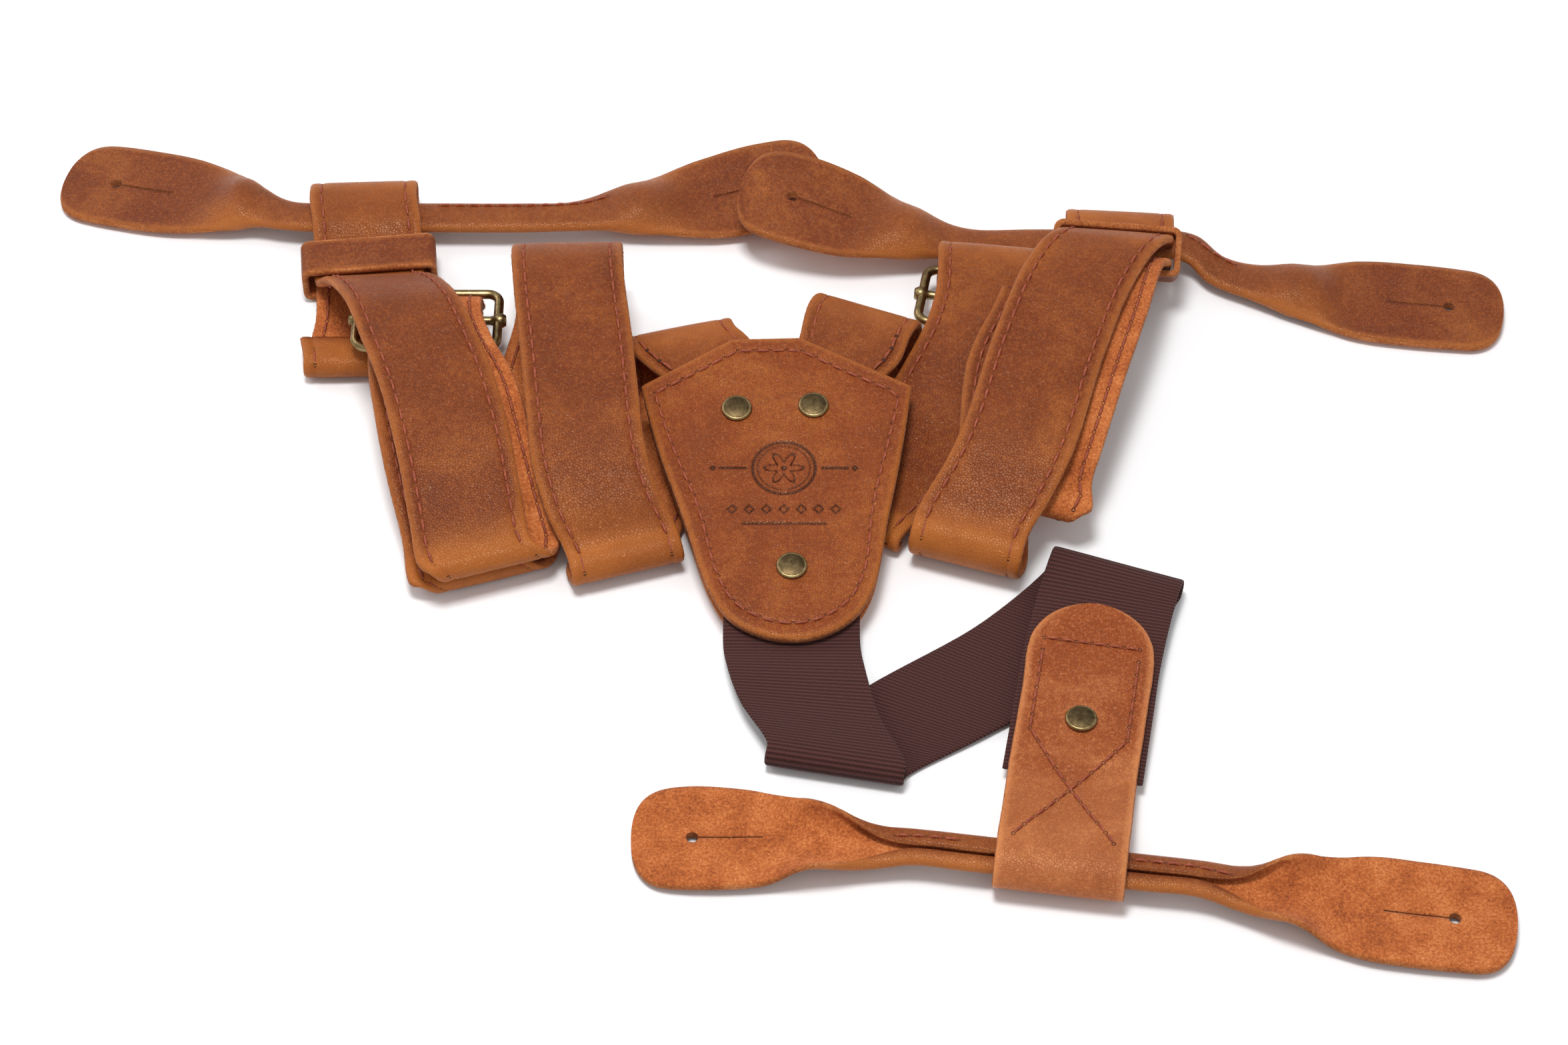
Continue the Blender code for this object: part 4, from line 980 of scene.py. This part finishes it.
# Places on the end tab: distance from its tip, distance from its middle line.
END_SEAMS = ([(13.5, -12.2), (13.5, 12.2)], [(17.5, -12.2), (42.0, -12.2), (61.0, 0.6), (79.0, 12.2)],
             [(17.5, 12.2), (42.0, 12.2), (61.0, -0.6), (79.0, -12.2)])
for index, seam_points in enumerate(END_SEAMS):
    corners = [on_end_tab(*place_on) for place_on in seam_points]
    seam = stitches(f"rear_end_tab_stitches_{index}", sewn_line(end_tree, corners, 16.0, SURFACE_PITCH))
    dress(seam, "rear_end", slot="tab_leather")


# ------------------------------------------------------------------ button tabs
SHEET_STEPS = 22
FULL_WRAP = 1.92 * math.pi


def tab_section(width, thickness, opens_up, seam_turn):
    """Cross-section of a tab: a flat sheet at the ear that rolls into the folded waist.

    Returns the outer (grain) and inner (flesh) lines as (across, height above the underside).
    """
    folded = min(1.0, max(0.0, (EAR_WIDTH - 2.0 - width) / (EAR_WIDTH - 2.0 - WAIST_WIDTH)))
    wrap = max(0.02, FULL_WRAP * folded ** 1.15)
    leaf = TAB_LEATHER + (1.15 - TAB_LEATHER) * folded
    radius = (width - leaf * folded) / 2.0 / math.sin(min(wrap / 2.0, math.pi / 2.0))
    tall = radius * (1.0 - math.cos(wrap / 2.0))
    room = thickness - leaf + 5.5 * math.sin(math.pi * folded) ** 2 * (1.0 - 0.35 * folded)
    squeeze = min(1.0, max(room, 0.05) / max(tall, 1e-6))
    turn = seam_turn * folded
    line = []
    for i in range(SHEET_STEPS + 1):
        angle = wrap * (i / SHEET_STEPS - 0.5)
        x = radius * math.sin(angle)
        z = radius * (1.0 - math.cos(angle)) * squeeze
        line.append((x + turn * (z / max(room, 0.1)) * 2.0, z))
    outer = []
    inner = []
    for i, (x, z) in enumerate(line):
        x0, z0 = line[max(i - 1, 0)]
        x1, z1 = line[min(i + 1, SHEET_STEPS)]
        length = max(math.hypot(x1 - x0, z1 - z0), 1e-6)
        nx, nz = (z1 - z0) / length, -(x1 - x0) / length
        taper = 0.72 if i in (0, SHEET_STEPS) else 1.0
        outer.append((x + nx * leaf / 2.0 * taper, z + nz * leaf / 2.0 * taper + leaf / 2.0))
        inner.append((x - nx * leaf / 2.0 * taper, z - nz * leaf / 2.0 * taper + leaf / 2.0))
    if not opens_up:
        top = min(tall, room) + leaf
        outer = [(x, top - z) for x, z in outer]
        inner = [(x, top - z) for x, z in inner]
    return outer, inner


EAR_ROUNDING = 11.0                    # how far from its end an ear's outline starts to round
EAR_SQUARENESS = 2.5                   # 2 would be a plain ellipse


def ear_width(along, total, width):
    """Rounds the outline of both ears' ends."""
    near = min(along, total - along)
    if near >= EAR_ROUNDING:
        return width
    part = max(0.0, 1.0 - near / EAR_ROUNDING)
    return max(1.2, width * (1.0 - part ** EAR_SQUARENESS) ** (1.0 / EAR_SQUARENESS))


def button_tab(name, rows, body, opens_up, seam_turn):
    """A tab with an ear at each end; `opens_up` puts the flesh side and the fold's opening on top."""
    sections = fine_stations(rows, WAIST_DEFAULTS, 1.0, tight_ends=True)
    total = sections[-1][3]
    verts = []
    uvs = []
    bends = []
    for centre, across, normal, along, rest in sections:
        width, thickness, tilt = rest[:3]
        lean = math.radians(tilt)
        side = across * math.cos(lean) - normal * math.sin(lean)
        up = normal * math.cos(lean) + across * math.sin(lean)
        if up.z < 0:
            up = -up
        outer, inner = tab_section(width, thickness, opens_up, seam_turn)
        folded = min(1.0, max(0.0, (EAR_WIDTH - width) / (EAR_WIDTH - WAIST_WIDTH)))
        shrink = ear_width(along, total, width) / width
        half = width * shrink / 2.0
        lift = 0.25 * noise.noise(Vector((along / 24.0, 1.0, len(name))))
        for x, z in outer + list(reversed(inner)):
            bow = 0.9 * (x / 15.0) ** 2 * math.sin(math.pi * min(1.0, min(along, total - along) / 60.0))
            height = z - thickness / 2.0 + (bow if opens_up else bow * 0.4) + abs(lift)
            verts.append(centre + side * (x * shrink) + up * height)
            uvs.append((along, max(0.0, half - abs(x * shrink))))
            sideways = min(1.0, (2.0 * x / width) ** 2 + 0.15)
            bends.append(0.85 * math.sin(math.pi * folded) ** 2 * sideways + 0.25 * folded)
    ring = 2 * (SHEET_STEPS + 1)
    band = [GRAIN] * SHEET_STEPS + [EDGE] + [FLESH] * SHEET_STEPS + [EDGE]
    kinds = band * (len(sections) - 1) + [EDGE, EDGE]
    obj = make_object(name + "_leather", verts, loft(len(sections), ring), [TAB_GRAIN, RAW_EDGE, SUEDE],
                      kinds, uvs, marks={"bend": bends})
    face_outward(obj)
    for start, inward in ((0, 3), (len(rows) - 1, len(rows) - 4)):
        cut_buttonhole(obj, Vector(rows[start][:3]), Vector(rows[inward][:3]))
    dress(obj, body, name, slot="tab_leather")
    return obj, sections


def cut_buttonhole(obj, tip, inner):
    """A round hole and a narrow slit through the ear whose end is `tip`."""
    ahead = inner - tip
    ahead.z = 0.0
    ahead.normalize()
    side = Vector((-ahead.y, ahead.x, 0.0))
    centre = tip + ahead * BUTTONHOLE_FROM_END
    outline = [(SLIT_END - 0.4, SLIT_HALF_WIDTH), (SLIT_END, 0.0), (SLIT_END - 0.4, -SLIT_HALF_WIDTH)]
    opening = 0.12                     # half the gap in the hole where the slit meets it, in radians
    steps = 14
    for i in range(steps + 1):
        angle = 2 * math.pi - opening - 2 * (math.pi - opening) * i / steps
        outline.append((BUTTONHOLE_RADIUS * math.cos(angle), BUTTONHOLE_RADIUS * math.sin(angle)))
    verts = []
    for z in (-8.0, 9.0):
        verts += [centre + ahead * a + side * b + Vector((0.0, 0.0, z)) for a, b in outline]
    count = len(outline)
    cutter = make_object("buttonhole_cutter", verts, loft(2, count), [RAW_EDGE], smooth=False)
    face_outward(cutter)
    cut = obj.modifiers.new("buttonhole", "BOOLEAN")
    cut.operation = "DIFFERENCE"
    cut.solver = "EXACT"
    cut.object = cutter
    graph = bpy.context.evaluated_depsgraph_get()
    result = bpy.data.meshes.new_from_object(obj.evaluated_get(graph))
    obj.modifiers.clear()
    obj.data = result
    bpy.data.objects.remove(cutter, do_unlink=True)


def waist_seam(name, tree, sections, body, low, high, aside):
    """Stitches along the waist of a tab from x `low` to `high`, `aside` of its centreline."""
    places = [section[:2] for section in sections if low <= section[0].x <= high]
    corners = [(centre.x + across.x * aside, centre.y + across.y * aside) for centre, across in places[::8]]
    seam = stitches(name, sewn_line(tree, corners, 30.0, WAIST_PITCH), hole_radius=0.36)
    dress(seam, body, slot="tab_leather")


# Name, route, body, whether it opens upwards, lean of its fold, and its seams: suffix, from x, to x, aside.
TABS = (("left_button_tab", LEFT_TAB, "left_button", False, 0.0, (("", -98.0, -44.0, -3.2),)),
        ("right_button_tab", RIGHT_TAB, "right_button", False, 0.0, (("", 112.0, 128.0, -3.0),)),
        ("rear_button_tab", REAR_TAB, "rear_button", True, 1.0,
         (("_a", 26.0, 49.0, -1.2), ("_b", 84.0, 110.0, -1.2))))
tabs = [button_tab(*row[:5]) for row in TABS]
for (tab_name, _, tab_body, _, _, tab_seams), (tab, tab_sections) in zip(TABS, tabs):
    tab_tree = surface_of(tab)
    for suffix, low, high, aside in tab_seams:
        waist_seam(f"{tab_name}_stitches{suffix}", tab_tree, tab_sections, tab_body, low, high, aside)


# ------------------------------------------------------------------ patch
def smooth_outline(corners, step):
    """The patch's outline: straight between its upper corners, curved round the lower end."""
    upper = corners[:4]
    curve = [Vector(p) for p in curve_through([(x, y, 0.0) for x, y in corners[3:] + corners[:1]])]
    loop = refined([Vector((*p, 0.0)) for p in upper] + curve[1:-1], step)
    for _ in range(2):
        loop = [(loop[i - 1] + loop[i] * 2 + loop[(i + 1) % len(loop)]) / 4 for i in range(len(loop))]
    return loop


def pressed_depth(x, y):
    """How deep the pressed ornament is here, from 0 to 1: rings, a rosette, bars and a row of diamonds."""
    cx, cy = x, y - 6.0
    radius = math.hypot(cx, cy)
    angle = math.atan2(cy, cx)
    rings = [abs(radius - 8.2) - 0.32, abs(radius - 6.9) - 0.14]
    rosette = [abs(radius - (3.6 + 1.5 * math.cos(6 * angle))) - 0.30, radius - 0.7]
    side_bars = [max(abs(cy) - 0.30, abs(abs(cx) - 13.4) - 3.6), abs(cy) + abs(abs(cx) - 18.6) - 0.9]
    lower_bar = [max(abs(y + 11.6) - 0.26, abs(x) - 11.0)]
    gaps = rings + rosette + side_bars + lower_bar
    diamond = (x + 13.5) / 4.5
    if -0.4 < diamond < 6.4:
        offset = (diamond - round(diamond)) * 4.5
        gaps.append(abs(abs(offset) + abs(y + 7.0) - 1.25) - 0.26)
    return max(0.0, min(1.0, 0.5 - min(gaps) / 0.42))


PATCH_HUB = Vector((0.0, 3.0, 0.0))    # its rings of points shrink towards this
# The panel's rim: distance from its edge, height as a part of half the thickness; the groove holds the seam.
PATCH_RIM = ((0.0, 0.15), (0.25, 0.62), (0.8, 0.92), (1.8, 1.0), (3.9, 0.97), (4.6, 0.80), (5.3, 0.97))
RIM_WIDTH = 6.0
PRESS_DEPTH = 0.42
PATCH_REACH = 40.0                     # distance of its middle from its edge, for the materials


def panel_front(outline, below, thickness, rings, with_ornament):
    """Points of a panel's front, one ring after another, as (place, distances, depth of the ornament)."""
    fronts = [(inset, None, height) for inset, height in PATCH_RIM]
    fronts += [(None, 1.0 - i / rings, 1.0) for i in range(1, rings)]
    points = []
    for inset, part, height in fronts:
        for point in outline:
            spoke = point - PATCH_HUB
            reach = spoke.length
            scale = (reach - inset) / reach if part is None else (reach - RIM_WIDTH) / reach * part
            spot = PATCH_HUB + spoke * scale
            depth = pressed_depth(spot.x, spot.y) if with_ornament else 0.0
            swell = 0.14 * noise.noise(Vector((spot.x / 13.0, spot.y / 13.0, below)))
            if inset == 0.0:
                spot = spot * (1.0 + 0.0028 * noise.noise(Vector((point.x * 0.8, point.y * 0.8, 2.0))))
            top = height * thickness / 2.0 - PRESS_DEPTH * depth
            if part is not None:
                top += swell
            points.append((patch_point(spot.x, spot.y, below - top), (spot.x, reach * (1.0 - scale)), depth))
    return points


def panel_faces(count, front_loops):
    """Faces of a panel of `front_loops` rings, its middle point and a back ring, with their slots."""
    faces = []
    for number in range(front_loops - 1):
        low = number * count
        for k in range(count):
            m = (k + 1) % count
            faces.append((low + k, low + count + k, low + count + m, low + m))
    kinds = [EDGE] * count + [GRAIN] * (len(faces) - count)
    last = (front_loops - 1) * count
    middle = last + count
    back = middle + 1
    for k in range(count):
        m = (k + 1) % count
        faces += [(last + k, middle, last + m), (k, m, back + m, back + k)]
        kinds += [GRAIN, EDGE]
    faces.append(tuple(back + k for k in range(count)))
    kinds.append(FLESH)
    return faces, kinds


def patch_panel(name, outline, below, thickness, rings, material, with_ornament):
    """A leather panel built of shrinking rings of points, with a rim and, if asked, the pressed ornament."""
    count = len(outline)
    points = panel_front(outline, below, thickness, rings, with_ornament)
    front_loops = len(points) // count
    points.append((patch_point(PATCH_HUB.x, PATCH_HUB.y, below - thickness / 2.0), (0.0, PATCH_REACH), 0.0))
    points += [(patch_point(p.x, p.y, below + thickness / 2.0), (p.x, 0.0), 0.0) for p in outline]
    verts, uvs, marks = (list(column) for column in zip(*points))
    faces, kinds = panel_faces(count, front_loops)
    obj = make_object(name, verts, faces, [material, RAW_EDGE, SUEDE], kinds, uvs, marks={"pressed": marks})
    face_outward(obj)
    return obj


OUTLINE_STEP = 0.55
patch_outline = smooth_outline(PATCH_OUTLINE, OUTLINE_STEP)
front = patch_panel("back_patch_front_leather", patch_outline, 0.0, PATCH_FRONT_THICKNESS, 84, PATCH_GRAIN,
                    True)
dress(front, "harness", "back_patch_front", slot="tab_leather")
lining_outline = [PATCH_HUB + (point - PATCH_HUB) * 0.985 for point in patch_outline[::3]]
lining = patch_panel("back_patch_lining_suede", lining_outline, LINING_BELOW, PATCH_LINING_THICKNESS, 8,
                     SUEDE, False)
dress(lining, "harness", "back_patch_lining", slot="suede_lining")


def patch_seam():
    """Stitch holes at an even pitch, PATCH_STITCH_INSET inside the patch's outline."""
    spokes = [point - PATCH_HUB for point in patch_outline]
    line = [PATCH_HUB + spoke * (1 - PATCH_STITCH_INSET / spoke.length) for spoke in spokes]
    lengths = [0.0]
    for a, b in zip(line, line[1:] + line[:1]):
        lengths.append(lengths[-1] + (b - a).length)
    tree = surface_of(front)
    count = round(lengths[-1] / SURFACE_PITCH)
    found = []
    for i in range(count + 1):
        want = lengths[-1] * (i % count) / count
        index = max(k for k in range(len(line)) if lengths[k] <= want)
        step = line[(index + 1) % len(line)] - line[index]
        spot = line[index] + step * ((want - lengths[index]) / step.length)
        found.append(drop_on(tree, spot.x, spot.y, 40.0))
    return [hole for hole in found if hole]


dress(stitches("back_patch_stitches", patch_seam()), "harness", slot="tab_leather")

FIBRE_BASE = [0.3]                     # a narrow strip, so that its fibres start at the patch's edge
patch_edge = []
for i, point in list(enumerate(patch_outline))[::2]:
    out = (point - PATCH_HUB).normalized()
    patch_edge.append((patch_point(point.x, point.y), out, PATCH_NORMAL, i * OUTLINE_STEP, FIBRE_BASE))
dress(fibres("back_patch_edge_fibres", patch_edge, PATCH_FRONT_THICKNESS, 1.6, 0.5), "harness",
      slot="tab_leather")


# ------------------------------------------------------------------ hardware
def rivet_cap(name, base, normal, body, node, sides=48):
    """A turned cap standing on `base`."""
    across = normal.orthogonal().normalized()
    other = normal.cross(across)
    verts = []
    for radius, height in CAP_ROWS:
        middle = base + normal * height
        verts += [spoke_point(middle, across, other, radius, i / sides) for i in range(sides)]
    kinds = [kind for kind in CAP_KINDS for _ in range(sides)] + [0, 0]
    cap = make_object(name, verts, loft(len(CAP_ROWS), sides), [BRASS, BRASS_RIM], kinds)
    dress(cap, body, node, slot="antique_brass")


# Radius and height of a cap's rings, and which bands between them are worn bright.
CAP_ROWS = ((3.9, 0.02), (4.05, 0.20), (4.08, 0.42), (3.98, 0.66), (3.78, 0.86), (3.55, 0.95), (3.38, 0.92),
            (3.20, 0.96), (2.6, 1.12), (1.8, 1.24), (0.9, 1.30), (0.05, 1.32))
CAP_KINDS = (1, 1, 1, 1, 1, 1, 0, 0, 0, 0, 0)
for label, (x, y) in PATCH_RIVETS.items():
    rivet_cap(f"patch_rivet_{label}_cap_brass", patch_point(x, y, -PATCH_FRONT_THICKNESS / 2.0), PATCH_NORMAL,
              "harness", f"patch_rivet_{label}_cap")
rivet_cap("rear_rivet_cap_brass", Vector((*END_TAB_RIVET, END_TAB_TOP + TAB_LEATHER / 2.0)),
          Vector((0.0, 0.0, 1.0)), "rear_end", "rear_rivet_cap")


def wire(name, path, radius, body, node, closed, swell=None, sides=14):
    """A round brass wire along a path; `swell` gives the radius factor at a part of the path."""
    count = len(path)
    verts = []
    for i, point in enumerate(path):
        ahead = path[(i + 1) % count] if closed else path[min(i + 1, count - 1)]
        behind = path[i - 1] if closed else path[max(i - 1, 0)]
        tangent = (ahead - behind).normalized()
        side = tangent.cross(Vector((0.0, 0.0, 1.0))).normalized()
        up = side.cross(tangent)
        size = radius * (swell(i / max(count - 1, 1)) if swell else 1.0)
        verts += [spoke_point(point, side, up, size, k / sides) for k in range(sides)]
    dress(make_object(name, verts, loft(count, sides, closed), [BRASS_RIM]), body, node, slot="antique_brass")


BAR_RADIUS = 1.2
BAR_STEPS = 60
BULB_LENGTH = 3.6                      # of the swollen end of a centre bar
BULB_START = 0.35                      # how much of the bulb lies past the end
BULB_RISE = 0.75                       # how much thicker it is, as a part of the bar's radius


def bar_swell(part):
    """A centre bar with bulbous ends."""
    from_end = min(part, 1.0 - part) * BUCKLE_WIDTH
    if from_end > BULB_LENGTH:
        return 1.0
    inside = (from_end + BULB_START) / (BULB_LENGTH + BULB_START)
    return 1.0 + BULB_RISE * math.sin(math.pi * min(1.0, inside))


for label, (centre, heading) in (("left", LEFT_BUCKLE), ("right", RIGHT_BUCKLE)):
    across, axis, _ = turned_frame(heading)
    middle = Vector(centre)
    corners = rounded_rectangle(BUCKLE_WIDTH - 2 * BUCKLE_WIRE_RADIUS, BUCKLE_LENGTH - 2 * BUCKLE_WIRE_RADIUS,
                                BUCKLE_CORNER, steps=10)
    points = refined([middle + across * a + axis * b for a, b in corners], 1.5)
    wire(f"{label}_buckle_frame_brass", points, BUCKLE_WIRE_RADIUS, f"{label}_buckle",
         f"{label}_buckle_frame", True)
    reach = BUCKLE_WIDTH / 2.0 + 0.9
    points = [middle + across * (reach * (2.0 * i / BAR_STEPS - 1.0)) for i in range(BAR_STEPS + 1)]
    wire(f"{label}_buckle_bar_brass", points, BAR_RADIUS, f"{label}_buckle", f"{label}_buckle_bar", False,
         bar_swell)


# A keeper's section: place along its length, height as a part of half the thickness, material slot.
KEEPER_RIM = ((-0.5, -0.45, EDGE), (-0.5, 0.5, EDGE), (-0.485, 0.85, EDGE), (-0.44, 1.0, GRAIN),
              (-0.2, 1.02, GRAIN), (0.0, 1.04, GRAIN), (0.2, 1.02, GRAIN), (0.44, 1.0, EDGE),
              (0.485, 0.85, EDGE), (0.5, 0.5, EDGE),
              (0.5, -0.45, EDGE), (0.47, -0.9, FLESH), (0.0, -0.95, FLESH), (-0.47, -0.9, EDGE))
KEEPER_STEP = 1.2


def keeper_band(name, settings, body, node):
    """A leather band round the strap, with rounded rims."""
    centre, heading, rise, length, inner_width, inner_height = settings
    across, axis, normal = turned_frame(heading, rise)
    half = KEEPER_THICKNESS / 2.0
    corners = rounded_rectangle(inner_width + 2 * half, inner_height + 2 * half, KEEPER_CORNER + half,
                                steps=8)
    path = refined([Vector(corner) for corner in corners], KEEPER_STEP)
    count = len(path)
    verts = []
    uvs = []
    for i, (a, b) in enumerate(path):
        a1, b1 = path[(i + 1) % count]
        a0, b0 = path[i - 1]
        size = max(math.hypot(a1 - a0, b1 - b0), 1e-6)
        out_a, out_b = (b1 - b0) / size, -(a1 - a0) / size
        for along, high, _ in KEEPER_RIM:
            bulge = 0.25 * noise.noise(Vector((a / 9.0, b / 9.0, along * 2.0)))
            offset = high * half + (bulge if high > 0.9 else 0.0)
            spot = Vector(centre) + across * (a + out_a * offset) + normal * (b + out_b * offset)
            verts.append(spot + axis * along * length)
            uvs.append((i * KEEPER_STEP, length * (0.5 - abs(along))))
    kinds = [kind for _, _, kind in KEEPER_RIM] * count
    faces = loft(count, len(KEEPER_RIM), True)
    obj = make_object(name, verts, faces, [TAB_GRAIN, RAW_EDGE, SUEDE], kinds, uvs)
    face_outward(obj)
    dress(obj, body, node)


keeper_band("left_keeper_band", LEFT_KEEPER, "left_loop", "left_keeper")
keeper_band("right_keeper_band", RIGHT_KEEPER, "right_loop", "right_keeper")

for node_name, node in frame["nodes"].items():
    if node_name.endswith("_post"):
        for material_slot in node.material_slots:
            material_slot.material = BRASS

# ------------------------------------------------------------------ floor, light and camera
floor_mesh = bpy.data.meshes.new("floor")
FLOOR_REACH = 4.0
FLOOR_BELOW = -0.0004                  # metres under the lowest leather
FLOOR_SIGNS = ((-1, -1), (1, -1), (1, 1), (-1, 1))
floor_corners = [(x * FLOOR_REACH, y * FLOOR_REACH, FLOOR_BELOW) for x, y in FLOOR_SIGNS]
floor_mesh.from_pydata(floor_corners, [], [(0, 1, 2, 3)])
floor = bpy.data.objects.new("floor", floor_mesh)
bpy.context.scene.collection.objects.link(floor)
floor_look = bpy.data.materials.new("pale_floor")
floor_look.use_nodes = True
floor_shader = floor_look.node_tree.nodes["Principled BSDF"]
floor_shader.inputs["Base Color"].default_value = (0.93, 0.93, 0.94, 1.0)
floor_shader.inputs["Roughness"].default_value = 0.85
floor_shader.inputs["Specular IOR Level"].default_value = 0.1
floor_mesh.materials.append(floor_look)

sky = bpy.data.worlds.new("studio")
sky.use_nodes = True
sky.node_tree.nodes["Background"].inputs["Color"].default_value = (1.0, 1.0, 1.0, 1.0)
sky.node_tree.nodes["Background"].inputs["Strength"].default_value = 0.50
bpy.context.scene.world = sky


def soft_light(name, place_at, size, energy):
    """A square lamp that faces the origin."""
    light = bpy.data.lights.new(name, "AREA")
    light.size = size
    light.energy = energy
    lamp = bpy.data.objects.new(name, light)
    lamp.location = place_at
    lamp.rotation_mode = "QUATERNION"
    lamp.rotation_quaternion = (-Vector(place_at)).to_track_quat("-Z", "Y")
    bpy.context.scene.collection.objects.link(lamp)


soft_light("overhead", (-0.10, -0.05, 1.25), 0.35, 11.0)
soft_light("window", (-0.90, 0.70, 0.80), 0.7, 3.5)
soft_light("fill", (0.60, -0.90, 0.90), 1.0, 1.5)

camera_data = bpy.data.cameras.new("camera")
camera_data.lens = CAMERA_LENS
camera_data.sensor_width = 36.0
camera = bpy.data.objects.new("camera", camera_data)
back_off = Vector((0.0, -math.cos(CAMERA_ELEVATION), math.sin(CAMERA_ELEVATION)))
camera.location = world(back_off * CAMERA_DISTANCE)
camera.rotation_mode = "QUATERNION"
camera.rotation_quaternion = (-back_off).to_track_quat("-Z", "Y")
camera_data.clip_start = 0.01
camera_data.clip_end = 50.0
bpy.context.scene.collection.objects.link(camera)
bpy.context.scene.camera = camera
bpy.context.scene.view_settings.view_transform = "Standard"
